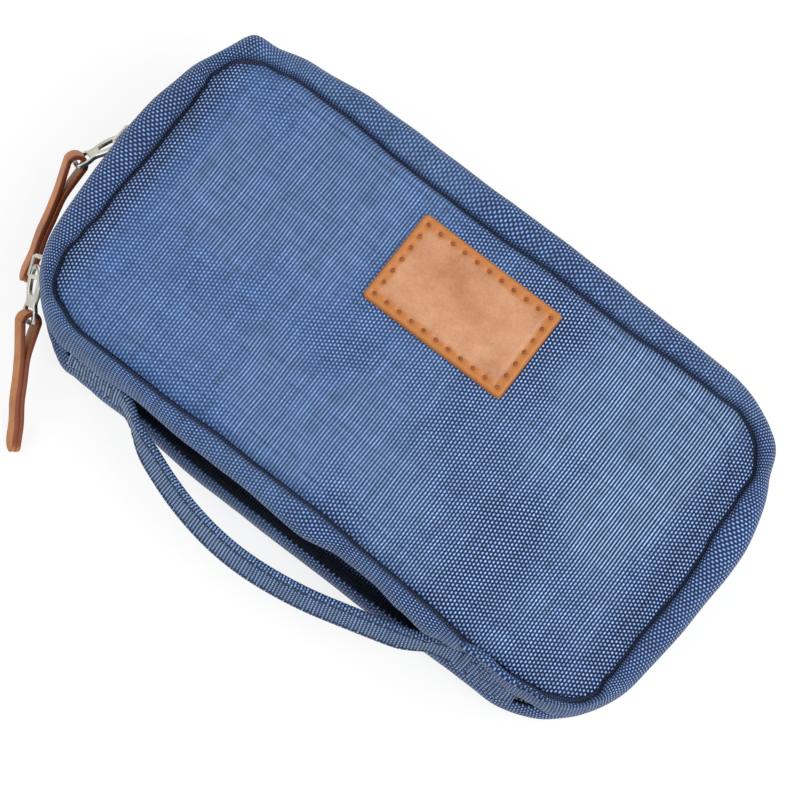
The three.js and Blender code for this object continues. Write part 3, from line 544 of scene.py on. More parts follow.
    def yarn_shade(self, tree: Tree, source: Socket, change: Socket, broken: Socket,
                   numbers: Sequence[Socket]) -> Socket:
        """How light the yarn is: by area, by thread, by its thick and thin stretches and by its breaks.

        Args:
            tree: the material's node tree.
            source: coordinates that the threads follow.
            change: the slow noise of the changes of shade.
            broken: how deep the ribs break.
            numbers: the rib's number and the pick's number.

        Returns:
            The factor on the colour's lightness.
        """
        add = partial(add_node, tree)
        own = []
        for number, seed in zip(numbers, self.seeds):
            pair = add("CombineXYZ", {}, {0: number, 1: seed})
            own.append(add("TexWhiteNoise", {"noise_dimensions": "2D"}, {"Vector": pair}))
        both = add("Math", {"operation": "ADD"}, {0: own[0], 1: own[1]})
        slubs = []
        for wide, long in self.slub_sizes:
            drawn = add("VectorMath", {"operation": "MULTIPLY"}, {0: source, 1: (1000 / wide, 1000 / long, 1)})
            slubs.append(add("TexNoise", {}, {"Vector": drawn, "Scale": 1.0, "Detail": 2.0}))
        slub = add("Math", {"operation": "ADD"}, {0: slubs[0], 1: slubs[1]})
        value, thread, stretch = (
            add("MapRange", {}, {0: number, 1: low, 2: high, 3: shades[0], 4: shades[1]})
            for number, low, high, shades in ((change, NOISE_LOW, NOISE_HIGH, self.area_shades),
                                              (both, 0.0, 2.0, self.thread_shades),
                                              (slub, 0.65, 1.35, self.slub)))
        gain = add("Math", {"operation": "MULTIPLY_ADD"}, {0: broken, 1: self.broken_gain, 2: 1.0})
        for factor in (thread, stretch, gain):
            value = add("Math", {"operation": "MULTIPLY"}, {0: value, 1: factor})
        return value.outputs[0]

    @staticmethod
    def hill(tree: Tree, at: Socket) -> Socket:
        """A rounded hill over each whole step: one in its middle, nothing at its ends.

        Args:
            tree: the material's node tree.
            at: the running number of steps.

        Returns:
            The height there.
        """
        add = partial(add_node, tree)
        part = add("Math", {"operation": "FRACT"}, {0: at})
        off = add("Math", {"operation": "SUBTRACT"}, {0: part, 1: 0.5})
        square = add("Math", {"operation": "MULTIPLY"}, {0: off, 1: off})
        made = add("Math", {"operation": "MULTIPLY_ADD"}, {0: square, 1: -4.0, 2: 1.0})
        return made.outputs[0]


@dataclass(frozen=True)
class Grained(Finish):
    """A surface with a soft grain: leather, foam, plastic or thread."""

    name: str
    deep: str
    face: str
    grain: float = 0.6  # mm
    relief: float = 0.05  # mm
    roughness: float = 0.5
    metallic: float = 0.0
    specular: float = 0.5
    patches: float = 12.0  # mm, size of the changes of shade
    edge: str | None = None  # colour of burnished edges, where the mesh marks them
    grain_share: float = 0.45  # of the grain in the changes of colour
    uneven: float = 0.06  # how far the roughness wavers

    def dress(self, tree: Tree, shader: bpy.types.Node) -> None:
        """Fine noise makes the grain, slow noise the changes of shade.

        Args:
            tree: the material's node tree.
            shader: the shader that the nodes feed.
        """
        add = partial(add_node, tree)
        place = add("TexCoord").outputs["Object"]
        slow, fine = (
            add("TexNoise", {}, {"Vector": place, "Scale": 1000 / size, "Detail": detail,
                                 "Roughness": rough}).outputs["Fac"]
            for size, detail, rough in ((self.patches, 4.0, 0.6), (self.grain, 3.0, 0.65)))
        blend = add("Math", {"operation": "MULTIPLY_ADD"}, {0: fine, 1: self.grain_share, 2: slow})
        share = add("MapRange", {}, {0: blend, 1: 0.5, 2: 0.95, 3: 0.0, 4: 1.0})
        colour = add("Mix", {"data_type": "RGBA"},
                     {"Factor": share, 6: linear(self.deep), 7: linear(self.face)}).outputs[2]
        if self.edge is not None:
            mark = add("Attribute", {"attribute_name": "worn"})
            colour = add("Mix", {"data_type": "RGBA"},
                         {"Factor": mark.outputs["Fac"], 6: colour, 7: linear(self.edge)}).outputs[2]
        bump = add("Bump", {}, {"Height": fine, "Distance": self.relief * MM})
        rough = add("MapRange", {}, {0: slow, 1: NOISE_LOW, 2: NOISE_HIGH, 3: self.roughness - self.uneven,
                                     4: self.roughness + self.uneven})
        feed(tree, shader, {"Base Color": colour, "Normal": bump, "Roughness": rough,
                            "Metallic": self.metallic, "Specular IOR Level": self.specular})


@dataclass(frozen=True)
class Backdrop(Finish):
    """White paper floor that looks plain white to the camera and still takes the shadow."""

    name: str = "matt_white_paper_floor"

    def dress(self, tree: Tree, shader: bpy.types.Node) -> None:
        """Grey paper with a glow of its own, so that it looks white and still takes the shadow.

        Args:
            tree: the material's node tree.
            shader: the shader that is set.
        """
        feed(tree, shader, {"Base Color": linear("#7C7C7C"), "Roughness": 0.9, "Specular IOR Level": 0.1,
                            "Emission Color": linear("#FFFFFF"), "Emission Strength": 0.8})


class Finishes:
    """Every finish of the case by the place it is used in."""

    # Solution-dyed polyester, plain woven: painted highlight on its floats, painted shade in its navy gaps; a
    # dry sheen.
    cloth = Weave("woven_polyester_panel", "#020B29", "#254881", "#9AB9DF", "#3A5B8F", calm=(0.54, 1.0),
                  breaks=(0.1, 0.7))
    # The border's copy of the panel cloth has lighter gap, thread and mean colours: painted light on the
    # rolled border.
    band = Weave("woven_polyester_border", "#081A44", "#35527F", "#87A6CE", "#43618A", flat=True,
                 breaks=(0.4, 1.0), calm=(0.8, 1.0))
    strap = Weave("woven_polyester_strap", "#081A40", "#375581", "#8BA9D0", "#436088", flat=True)
    # The spine's near-black colours are partly its dark navy cloth and partly painted shade of the recess it
    # is sunk in.
    spine = Weave("woven_polyester_spine_painted_shade", "#040A1A", "#101D3A", "#223558", "#0D1830", flat=True, depth=0.15)
    # Knitted polyester lining: fine wales, soft and dark.
    lining = Weave("tricot_polyester_lining", "#141B2B", "#27324A", "#3B4863", "#27324A", warp=0.9, weft=0.45,
                   depth=0.08, roughness=0.8, sheen=0.3)
    tape = Weave("woven_zip_tape", "#0A1222", "#16233F", "#2A3B5E", "#16233F", flat=True, warp=0.8, weft=0.4,
                 depth=0.1)
    elastic = Weave("ribbed_elastic_webbing", "#0C0D10", "#1C1E24", "#33363F", "#1C1E24", warp=1.0, weft=0.5,
                    depth=0.2, roughness=0.75)
    # Nylon coil, drawn and set round the zip's cord: smooth and slightly glossy.
    coil = Grained("drawn_nylon_coil", "#0E1930", "#1F3054", grain=2.0, relief=0.01, roughness=0.34)
    # Zinc, die cast and nickel plated: bright with soft wear.
    metal = Grained("nickel_plated_cast_zinc", "#A9A69B", "#CFCCC2", grain=0.35, relief=0.008, roughness=0.3,
                    metallic=1.0, patches=5.0)
    # Cowhide, vegetable tanned: waxy tan face with burnished rust edges.
    leather = Grained("vegetable_tanned_cowhide_strip", "#8E4A17", "#C27C38", grain=0.7, relief=0.05,
                      roughness=0.46, edge="#7A3714", patches=9.0)
    label = Grained("embossed_vegetable_tanned_cowhide", "#A8704C", "#C9946E", grain=0.8, relief=0.06,
                    roughness=0.5, edge="#B26C2C", patches=11.0)
    thread = Grained("bonded_nylon_thread", "#6E340C", "#9A5117", grain=0.3, relief=0.05, roughness=0.55,
                     patches=4.0)
    blue_thread = Grained("bonded_polyester_thread", "#0B1630", "#1C2E52", grain=0.3, relief=0.05,
                          roughness=0.55, patches=4.0)
    foam = Grained("laminated_polyether_foam", "#3A3B3E", "#55565A", grain=0.5, relief=0.15, roughness=0.95,
                   specular=0.15)
    binding = Weave("grosgrain_binding_tape", "#0A1222", "#1A2746", "#2C3D60", "#1A2746", flat=True, warp=0.8,
                    weft=0.6, depth=0.1)
    mesh = Grained("knitted_nylon_mesh", "#15171C", "#2A2D35", grain=0.6, relief=0.03, roughness=0.6)
    floor = Backdrop()


# The case's outline

@dataclass(frozen=True)
class Station:
    """A point of the outline with its outward normal and its running distance."""

    x: float
    y: float
    nx: float
    ny: float
    run: float = 0.0

    def inset(self, depth: float, z: float) -> Vector:
        """The point that lies depth inside the outline, at height z."""
        return Vector((self.x - self.nx * depth, self.y - self.ny * depth, z))


@dataclass(frozen=True)
class Arc:
    """One arc of the outline, run anticlockwise."""

    x: float
    y: float
    radius: float
    start: float
    end: float

    def at(self, angle: float, run: float = 0.0) -> Station:
        """The station at an angle."""
        nx, ny = math.cos(angle), math.sin(angle)
        return Station(self.x + nx * self.radius, self.y + ny * self.radius, nx, ny, run)

    def length(self, depth: float = 0.0) -> float:
        """Length of the arc that lies depth inside this one."""
        return (self.radius - depth) * (self.end - self.start)


@dataclass(frozen=True)
class Outline:
    """The case seen from above: shallow arcs for ends and far side, a straight strap side."""

    length: float = 222.0
    near_reach: float = 59.0
    far_reach: float = 61.0
    corner: float = 33.0
    end_radius: float = 260.0
    far_radius: float = 2400.0
    chain_depth: float = 4.15
    zip_end_turn: float = math.radians(8)

    @cached_property
    def arcs(self) -> list[Arc]:
        """The seven arcs, from the strap side's right corner to its left one."""
        end_x = self.end_radius - self.length / 2
        near_y = self.corner - self.near_reach
        near_x = math.sqrt((self.end_radius - self.corner) ** 2 - near_y ** 2) - end_x
        far_y = self.far_reach - self.far_radius
        gap = math.hypot(end_x, far_y)
        inner, outer = self.end_radius - self.corner, self.far_radius - self.corner
        turn = math.acos((gap ** 2 + inner ** 2 - outer ** 2) / (2 * gap * inner))
        toward = math.atan2(far_y, end_x) + turn
        corner_x, corner_y = -end_x + inner * math.cos(toward), inner * math.sin(toward)
        end_near = -math.atan2(near_y, near_x + end_x)
        end_far = math.atan2(corner_y, corner_x + end_x)
        far = math.pi / 2 - math.atan2(corner_y - far_y, corner_x)
        return [
            Arc(near_x, near_y, self.corner, -math.pi / 2, -end_near),
            Arc(-end_x, 0, self.end_radius, -end_near, end_far),
            Arc(corner_x, corner_y, self.corner, end_far, math.pi / 2 - far),
            Arc(0, far_y, self.far_radius, math.pi / 2 - far, math.pi / 2 + far),
            Arc(-corner_x, corner_y, self.corner, math.pi / 2 + far, math.pi - end_far),
            Arc(end_x, 0, self.end_radius, math.pi - end_far, math.pi + end_near),
            Arc(-near_x, near_y, self.corner, math.pi + end_near, math.pi * 3 / 2),
        ]

    @cached_property
    def girth(self) -> float:
        """Length right round the outline."""
        return sum(arc.length() for arc in self.arcs) + 2 * self.arcs[0].x

    def at(self, run: float) -> Station:
        """The station at a running distance.

        Args:
            run: the distance from the right end of the straight strap side.

        Returns:
            The station there.
        """
        left = run % self.girth
        for arc in self.arcs:
            if left <= arc.length():
                return arc.at(arc.start + left / arc.radius, run % self.girth)
            left -= arc.length()
        return Station(self.arcs[-1].x + left, -self.near_reach, 0.0, -1.0, run % self.girth)

    def near(self, x: float) -> Station:
        """The strap side's station at x, on the straight or on its corners.

        Args:
            x: the place along the case.

        Returns:
            The station there.
        """
        past = max(abs(x) - self.arcs[0].x, 0.0)
        turn = math.copysign(math.asin(past / self.corner), x) - math.pi / 2
        nx, ny = math.cos(turn), math.sin(turn)
        return Station(x, self.arcs[0].y + self.corner * ny, nx, ny, x)

    def corners(self) -> list[float]:
        """Distances of the middles of the four corners, from the strap side's left one.

        Returns:
            Five distances, the left near corner's first and last.
        """
        runs = [0.0]
        for arc in self.arcs:
            runs.append(runs[-1] + arc.length())
        middle = [(runs[i] + runs[i + 1]) / 2 for i in (0, 2, 4, 6)]
        return [middle[3] - self.girth, middle[0], middle[1], middle[2], middle[3]]

    def loop(self, long: int, short: int) -> list[Station]:
        """Stations right round, with as many cells on each side as on the one across from it.

        Args:
            long: cells on the strap side and across from it.
            short: cells on each end.

        Returns:
            The stations, from the middle of the left near corner.
        """
        marks = self.corners()
        made = []
        for side, count in enumerate((long, short, long, short)):
            start, end = marks[side], marks[side + 1]
            made += [self.at(start + (end - start) * i / count) for i in range(count)]
        return made

    @cached_property
    def chain_arcs(self) -> list[Arc]:
        """The arcs that the zip follows, cut at its two ends."""
        first, *rest, last = self.arcs
        start = Arc(first.x, first.y, first.radius, first.start + self.zip_end_turn, first.end)
        end = Arc(last.x, last.y, last.radius, last.start, last.end - self.zip_end_turn)
        return [start, *rest, end]

    @cached_property
    def chain_length(self) -> float:
        """Length of the zip's chain."""
        return sum(arc.length(self.chain_depth) for arc in self.chain_arcs)

    def chain(self, distance: float) -> Station:
        """The station at a distance along the zip's chain.

        Args:
            distance: the place along the chain.

        Returns:
            The station there.
        """
        left = min(max(distance, 0.0), self.chain_length)
        for arc in self.chain_arcs:
            if left <= arc.length(self.chain_depth) + 1e-4:
                return arc.at(arc.start + left / (arc.radius - self.chain_depth), distance)
            left -= arc.length(self.chain_depth)
        return self.chain_arcs[-1].at(self.chain_arcs[-1].end, distance)

    def chain_distance(self, y: float) -> float:
        """Distance along the chain of the point that stands at y on the left end.

        Args:
            y: the place across the case.

        Returns:
            The distance.
        """
        before = 0.0
        for i, arc in enumerate(self.chain_arcs):
            radius = arc.radius - self.chain_depth
            angle = math.pi - math.asin(min(max((y - arc.y) / radius, -1.0), 1.0))
            if i >= 5 and arc.start <= angle <= arc.end:
                return before + (angle - arc.start) * radius
            before += arc.length(self.chain_depth)
        return before


# The two halves

class Half(Enum):
    """The two halves of the case."""

    BACK = "back"
    FRONT = "front"

    @property
    def noise_level(self) -> float:
        """Height in the noise that gives each half waves of its own."""
        return 11.0 if self is Half.FRONT else 31.0


@dataclass(frozen=True)
class Drape:
    """How the soft halves depart from their plain form."""

    height: float = 46.0
    lean: float = 1.6  # the strap side of the front leans inwards
    lean_rise: Pair = (33.1, 12.9)  # from this height, over this much more
    crown: float = 2.0
    sink: float = 4.8  # the front's wall is pressed in on the strap side, under its seam
    sink_middle: float = 3.0
    sink_half: float = 80.0
    sink_depth: Pair = (38.0, 14.0)  # from this far out of the middle, over this much
    sink_rise: Pair = (27.0, 20.0)  # and fading from this height, over this much
    pinch: float = 2.6  # the front's far left corner is pinched to a point
    pinch_at: Pair = (-98.0, 52.5)
    pinch_size: float = 6.0
    pinch_pull: Pair = (0.8, 0.75)  # shares of it along the case and across
    pinch_lift: float = 0.8
    pinch_rise: Pair = (32.0, 8.0)
    fold: float = 1.1  # and creased across its border there
    fold_line: Triple = (-0.6, 0.17, 1.9)  # the crease's place, slant and width
    fold_from: Pair = (44.5, 3.0)
    fold_rise: Pair = (36.0, 5.0)
    fold_side: float = -85.0  # it lies left of this
    bulge: float = 1.7  # the back's strap side sags outwards
    bulge_half: float = 58.0
    bulge_depth: Pair = (44.0, 12.0)
    bulge_rise: Pair = (45.0, 8.0)  # fading towards this height, over this much
    left_lean: float = math.radians(16)  # the strap's ends lean in over the spine
    left_lean_from: Pair = (48.0, 14.0)
    right_lean: float = math.radians(26)
    right_lean_from: Pair = (44.0, 17.0)
    # How much deeper than its even line the front's seam lies, by running distance.
    seam_marks: tuple[Pair, ...] = (
        (0, -2.8), (9, -2.5), (16, -4.0), (27, -5.3), (33, -4.4), (39, -1.3), (48, -0.1), (60, 0.6), (86, 0.9),
        (97, 1.5), (110, 0.7), (125, -1.9), (135, -2.8), (145, -2.2), (156, -0.6), (171, -0.4), (188, 1.2),
        (216, 1.4), (236, 2.9), (274, 2.5), (297, 0.7), (322, 0.4), (330, -1.4), (341, -3.1), (350, -2.0),
        (356, -0.1), (364, 1.0), (384, 1.8), (406, 1.2), (415, -0.1), (426, -2.2), (438, -3.9), (450, -1.9),
        (465, -0.4), (485, -0.8), (517, 0.0), (545, 0.2), (583, -1.7), (607, -3.0))
    # And how much deeper its wall lies.
    wall_marks: tuple[Pair, ...] = (
        (0, 4.0), (8, 3.2), (24, 0.0), (48, 0.9), (72, 0.0), (96, -0.6), (120, 1.3), (132, -0.8), (144, 0.0),
        (168, -0.4), (290, -0.4), (312, 1.4), (324, 1.2), (334, 0.0), (348, 0.8), (372, -0.3), (400, 0.0),
        (446, 0.8), (460, 3.2), (480, 3.2), (505, 0.8), (520, 0.5), (545, -0.6), (560, 2.0), (571, 1.7),
        (583, 0.1), (592, -0.6), (600, 1.6), (609, 5.0))
    swells: tuple[Triple, ...] = ((0.9, 7.0, 62.0), (0.22, 3.0, 19.0))  # height, noise level, wave length
    back_swell: float = 0.35  # the back's face only sinks, since it lies on the floor
    seam_width: float = 3.2  # of the strip beside a seam that wavers with it
    seam_waver: tuple[Pair, ...] = ((0.24, 17.0), (0.12, 6.0))  # how far, and wave length
    seam_drop: Triple = (0.16, 0.2, 8.0)  # how low it is drawn, how unevenly, wave length
    outline: Outline = Outline()

    def end_lean(self, x: float) -> float:
        """How far the strap and the spine lean inwards near the strap's two ends.

        Args:
            x: the place along the case.

        Returns:
            The angle in radians.
        """
        if x < 0:
            return self.left_lean * eased(-x, *self.left_lean_from)
        return self.right_lean * eased(x, *self.right_lean_from)

    def crown_at(self, x: float, y: float) -> float:
        """Rise of the front panel over its edge."""
        return self.crown * (1 - (2 * x / self.outline.length) ** 2) * (1 - (y / self.outline.far_reach) ** 2)

    def swell_at(self, x: float, y: float, half: Half) -> float:
        """Slow waves of a panel's face.

        Args:
            x: the place along the case.
            y: the place across it.
            half: the half that the panel belongs to.

        Returns:
            The face's rise there.
        """
        if half is Half.BACK:
            return -self.back_swell * abs(wave(x, y, 40.0, 55.0))
        (slow, level, length), (quick, quick_level, quick_length) = self.swells
        return slow * wave(x, y * 1.2, level, length) + quick * wave(x, y, quick_level, quick_length)

    def wobble(self, station: Station, depth: float, seam: float, half: Half) -> Pair:
        """Waver of a seam.

        Args:
            station: the place round the outline.
            depth: how far inside the outline the point lies.
            seam: how far inside it the seam lies.
            half: the half that the seam belongs to.

        Returns:
            How much deeper and how much lower the point lies.
        """
        near = math.exp(-((depth - seam) / self.seam_width) ** 2)
        level = half.noise_level
        side = sum(wave(station.x, station.y, level, length) * far for far, length in self.seam_waver)
        low, uneven, length = self.seam_drop
        drop = low + uneven * wave(station.x, station.y, level + 5, length)
        return side * near, drop * near

    def settle(self, point: Vector, half: Half) -> Vector:
        """Put a point of the upright front form in its place in either half.

        Args:
            point: the point in the upright front form.
            half: the half that it belongs to.

        Returns:
            Its place in the closed case.
        """
        x, y, z = point
        if half is Half.BACK:
            bow = smooth(hump(x / self.bulge_half) * 1.3)
            end, span = self.bulge_rise
            y -= self.bulge * bow * eased(-y, *self.bulge_depth) * eased(-z, -end, span)
            return Vector((x, y, self.height - z))
        start, span = self.lean_rise
        y += self.lean * max(0.0, -y / self.outline.near_reach) ** 2 * max(0.0, (z - start) / span)
        pressed = smooth(hump((x - self.sink_middle) / self.sink_half) * 1.1)
        y += self.sink * pressed * eased(-y, *self.sink_depth) * (1 - eased(z, *self.sink_rise))
        dx, dy = point.x - self.pinch_at[0], point.y - self.pinch_at[1]
        pull = math.exp(-(dx * dx + dy * dy) / self.pinch_size ** 2) * eased(z, *self.pinch_rise)
        if x < self.fold_side:
            line, slant, width = self.fold_line
            across = math.exp(-((dx - line - slant * dy) / width) ** 2) * eased(y, *self.fold_from)
            z -= self.fold * across * eased(z, *self.fold_rise)
        x -= self.pinch * self.pinch_pull[0] * pull
        y += self.pinch * self.pinch_pull[1] * pull
        z += self.pinch_lift * pull
        return Vector((x, y, z))


@dataclass
class HalfShell:
    """One half of the case: rolled border, padded panel, linings, zip tape and coil."""

    half: Half
    drape: Drape = Drape()
    outline: Outline = Outline()
    height: float = 46.0
    sewn_edge: float = 29.5  # height of the border's sewn edge in the front
    groove: float = 8.4  # inset of the seam groove between border and panel
    groove_gap: float = 1.2
    turned_in: tuple[Pair, ...] = ((0.05, -0.9), (-0.2, -1.8))  # the border's end in the groove
    shoulder: float = 4.4  # width of the panel's rounded edge
    shoulder_steps: int = 11
    shoulder_powers: Pair = (0.62, 1.25)  # shape its curve
    rim: Pair = (0.25, 0.08)  # insets of the cloth's first rings inside the seam
    turned_down: float = 1.6  # how far the first of them hangs
    inner_rings: Pair = (14.3, 15.8)  # the last rings before the inner grid
    swell_over: float = 7.0  # the panel's waves grow over this much from its edge
    cloth: float = 1.0
    foam_thickness: float = 2.6
    lining_thickness: float = 0.8
    foam_depth: float = 1.5  # under the panel's face
    foam_inset: float = 13.1
    lining_depth: float = 4.4
    lining_inset: float = 10.2
    wall_lining: float = 1.3
    wall_lining_gap: float = 1.55  # between the border's face and the lining's
    lined_steps: tuple[int, int] = (7, 24)  # of the border's profile
    profile_steps: int = 30
    binding_drop: float = 3.3  # of the seam binding under the groove's foot
    binding_section: tuple[Pair, ...] = (
        (-1.3, 0), (-1.3, 2.0), (-0.9, 2.2), (0.9, 2.2), (1.3, 2.0), (1.3, 0), (0.9, -0.2), (-0.9, -0.2),
        (-1.3, 0))
    tuck: float = 3.6  # how far the zip's tape runs in behind the border
    tape_depth: float = 3.9
    tape_thickness: float = 0.5
    tape_margin: float = 0.9
    tape_bow: float = 0.25
    row_root: float = 20.25
    row_height: float = 3.2
    row_thickness: float = 1.8
    parted: float = 1.65  # how far a row stands back where the zip is open
    slider_reach: Pair = (6.0, 7.0)  # the rows part from here behind a slider, over this much
    end_gap: float = 0.6  # and how far at the chain's ends
    end_reach: Pair = (5.0, 16.0)
    coil_pitch: float = 1.5
    coil_wire: float = 0.33
    coil_steps: int = 12  # per turn
    wire_sides: int = 5
    long_cells: int = 150
    short_cells: int = 78
    roll_insets: tuple[float, ...] = (0.29, 0.1, 0.02, 0, 0.09, 0.3, 0.6, 0.9, 1)
    roll_rises: tuple[float, ...] = (0, 0.12, 0.27, 0.5, 0.74, 0.91, 0.98, 0.955, 0.83)
    swells: tuple[Pair, ...] = ((0.4, 26.0), (0.14, 9.0))  # height and length of its waves
    rise_wave: Pair = (0.3, 34.0)
    fade: Pair = (4.0, 5.0)  # over which they fade out towards the seam and towards the sewn edge
    crumple: float = 1.5  # waves of the near left corner, which hardly turn inwards
    crumple_inwards: float = 0.2
    crumple_length: float = 9.0
    crumple_at: Pair = (-84.0, -48.0)
    crumple_spread: float = 260.0  # mm2
    noise_levels: Pair = (20.0, 60.0)  # give the front and the back waves of their own
    far_slider: float = 0.0  # places along the chain
    near_slider: float = 0.0

    @property
    def body(self) -> str:
        """The CAD body that the half rides on."""
        return "lid" if self.half is Half.FRONT else "base"

    @property
    def groove_z(self) -> float:
        """Height of the seam groove's foot."""
        return self.sewn_edge + (self.height - self.sewn_edge) * self.roll_rises[-1]

    @property
    def seam(self) -> float:
        """Inset of the seam's middle."""
        return self.groove + self.groove_gap / 2

    @property
    def profile(self) -> list[Pair]:
        """The rolled border's outer profile as insets and heights."""
        rise = self.height - self.sewn_edge
        raw = [(self.groove * a, self.sewn_edge + rise * b)
               for a, b in zip(self.roll_insets, self.roll_rises)]
        return curve_through(raw, self.profile_steps)

    def wander(self, station: Station, depth: float) -> float:
        """How much deeper the front lies than its even outline.

        Args:
            station: the place round the outline.
            depth: how far inside the outline the point lies.

        Returns:
            The extra depth, none in the back.
        """
        if self.half is Half.BACK:
            return 0.0
        seam = between(self.drape.seam_marks, station.run, self.outline.girth)
        wall = between(self.drape.wall_marks, station.run, self.outline.girth)
        return wall + (seam - wall) * smooth(depth / self.groove)

    def soft(self, station: Station, depth: float, z: float) -> Vector:
        """A point of the border with its small waves, in its half.

        Args:
            station: the place round the outline.
            depth: how far inside the outline the point lies.
            z: its height in the upright front form.

        Returns:
            The point's place in the closed case.
        """
        x, y = station.x, station.y
        deeper, lower = self.drape.wobble(station, depth, self.seam, self.half)
        level = self.noise_levels[self.half is Half.BACK]
        body = smooth((self.seam - depth) / self.fade[0]) * smooth((z - self.sewn_edge) / self.fade[1])
        swell = sum(high * wave(x, y, z + level, length) for high, length in self.swells)
        off_x, off_y = x - self.crumple_at[0], y - self.crumple_at[1]
        crumpled = math.exp(-(off_x ** 2 + off_y ** 2) / self.crumple_spread)
        fold = self.crumple * wave(x, y * 0.6, z * 0.5 + level, self.crumple_length)
        swell += crumpled * max(-self.crumple_inwards, fold)
        high, length = self.rise_wave
        rise = high * wave(x, y, level, length) * body
        if self.half is Half.BACK:
            rise = -abs(rise)
        depth += deeper + self.wander(station, depth) - swell * body
        return self.drape.settle(station.inset(depth, z - lower + rise), self.half)

    def ring(self, loop: Sequence[Station], profile: Sequence[Pair],
             place: Callable[[Station, float, float], Vector], flip: bool) -> Mesh:
        """Band that runs right round the case.

        Args:
            loop: stations round the outline.
            profile: insets and heights across the band.
            place: puts a station, an inset and a height in its place.
            flip: turns the faces round.

        Returns:
            The band, its ends merged.
        """
        run = [station.run for station in loop]
        run = [value - self.outline.girth if value > run[-1] else value for value in run] + [run[-1] + 1.3]
        wide = lengths_along([Vector((a, b, 0)) for a, b in profile])

        def at(i: int, j: int) -> Vector:
            """Point of the band."""
            return place(loop[i % len(loop)], *profile[j])

        def spread(i: int, j: int) -> Vector:
            """Flat place of the same point."""
            return Vector((run[i], wide[j], 0)) * MM

        return merged(bent_grid(len(loop), len(profile) - 1, at, spread, flip))

    def make_border(self) -> None:
        """The rolled border, from the zip up the wall and over to the seam."""
        name = self.half.value
        loop = self.outline.loop(self.long_cells, self.short_cells)
        profile = self.profile + [(self.groove + a, self.groove_z + b) for a, b in self.turned_in]
        mesh = self.ring(loop, profile, self.soft, self.half is Half.BACK)
        add_piece(f"{name}_border_cloth", mesh, Finishes.band, self.body, [f"{name}_border"], "cloth",
                  self.cloth)

    def panel_z(self, x: float, y: float, depth: float) -> float:
        """Height of the panel's face.

        Args:
            x: the place along the case.
            y: the place across it.
            depth: how far inside the outline it lies.

        Returns:
            The height in the upright front form.
        """
        edge = self.groove + self.groove_gap
        share = min(max((depth - edge) / self.shoulder, 0.0), 1.0)
        early, late = self.shoulder_powers
        rise = math.sin(math.pi / 2 * share ** early) ** late
        crown = self.drape.crown_at(x, y) if self.half is Half.FRONT else 0.0
        slow = eased(depth, edge, self.swell_over)
        swell = self.drape.swell_at(x, y, self.half)
        return self.groove_z + (self.height - self.groove_z) * rise + crown * smooth(share) + swell * slow

    def sheet_mesh(self, depths: Sequence[float], lift: Callable[[float, float, float], float],
                   long: int, short: int, flip: bool) -> Mesh:
        """Sheet that fills the outline from an edge inwards.

        Args:
            depths: insets of its rings, from the edge to where the inner grid starts.
            lift: height at a place and an inset.
            long: cells along the long sides.
            short: cells along the ends.
            flip: turns the faces round.

        Returns:
            The sheet, rings and inner grid merged.
        """
        loop = self.outline.loop(long, short)

        def on_ring(i: int, j: int) -> Vector:
            """Point of the rings near the edge."""
            station, depth = loop[i % len(loop)], depths[j]
            flat = station.inset(depth, 0.0)
            deeper, lower = self.drape.wobble(station, depth, self.seam, self.half)
            left_over = 1 - smooth((depth - self.groove) / (depths[-1] - self.groove))
            deeper += self.wander(station, self.groove) * left_over
            moved = station.inset(depth + deeper, lift(flat.x, flat.y, depth) - lower)
            return self.drape.settle(moved, self.half)

        last = [station.inset(depths[-1], 0.0) for station in loop]
        near = last[:long + 1]
        right = last[long:long + short + 1]
        far = last[long + short:2 * long + short + 1][::-1]
        left = [last[0], *last[2 * long + short:][::-1]]

        def inside(i: int, j: int) -> Vector:
            """Point of the grid between the four sides."""
            s, t = i / long, j / short
            flat = near[i] * (1 - t) + far[i] * t + left[j] * (1 - s) + right[j] * s
            flat -= (near[0] * (1 - s) + near[-1] * s) * (1 - t) + (far[0] * (1 - s) + far[-1] * s) * t
            flat.z = lift(flat.x, flat.y, 99.0)
            return self.drape.settle(flat, self.half)

        def flat_at(i: int, j: int) -> Vector:
            """Flat place of a grid point."""
            return Vector((i / long * self.outline.length, j / short * 2 * self.outline.near_reach, 0)) * MM

        rings = bent_grid(len(loop), len(depths) - 1, on_ring, flat_at, flip)
        middle = bent_grid(long, short, inside, flat_at, flip)
        return merged(joined([merged(rings), middle]))

    def make_panel(self) -> None:
        """The padded face panel with its shoulder, foam and lining."""
        name, edge, back = self.half.value, self.groove + self.groove_gap, self.half is Half.BACK
        rim = [edge + inset for inset in self.rim]
        shares = [(k / self.shoulder_steps) ** 1.5 for k in range(1, self.shoulder_steps + 1)]
        depths = [*rim, *(edge + self.shoulder * share for share in shares), *self.inner_rings]

        def face(x: float, y: float, depth: float) -> float:
            """Height of the cloth; its first ring is turned down into the seam."""
            if depth == rim[0]:
                return self.groove_z - self.turned_down
            return self.panel_z(x, y, max(depth, edge))

        mesh = self.sheet_mesh(depths, face, self.long_cells, self.short_cells, back)
        add_piece(f"{name}_panel_cloth", mesh, Finishes.cloth, self.body, [f"{name}_panel"], "cloth",
                  self.cloth)
        for piece, drop, thickness, inset, finish in (
                ("foam", self.foam_depth, self.foam_thickness, self.foam_inset, Finishes.foam),
                ("lining", self.lining_depth, self.lining_thickness, self.lining_inset, Finishes.lining)):

            def level(x: float, y: float, depth: float, drop: float = drop) -> float:
                """Height of an inner sheet, which follows the panel in the front and is flat in the back."""
                waves = self.drape.swell_at(x, y, self.half) * eased(depth, 8.7, 9)
                return self.height - drop + (0.0 if back else self.drape.crown_at(x, y) + waves)

            mesh = self.sheet_mesh([inset, inset + 1.5, inset + 4], level, 60, 32, back)
            made = add_piece(f"{name}_panel_{piece}_sheet", mesh, finish, self.body,
                             [f"{name}_panel_{piece}"], piece, thickness)

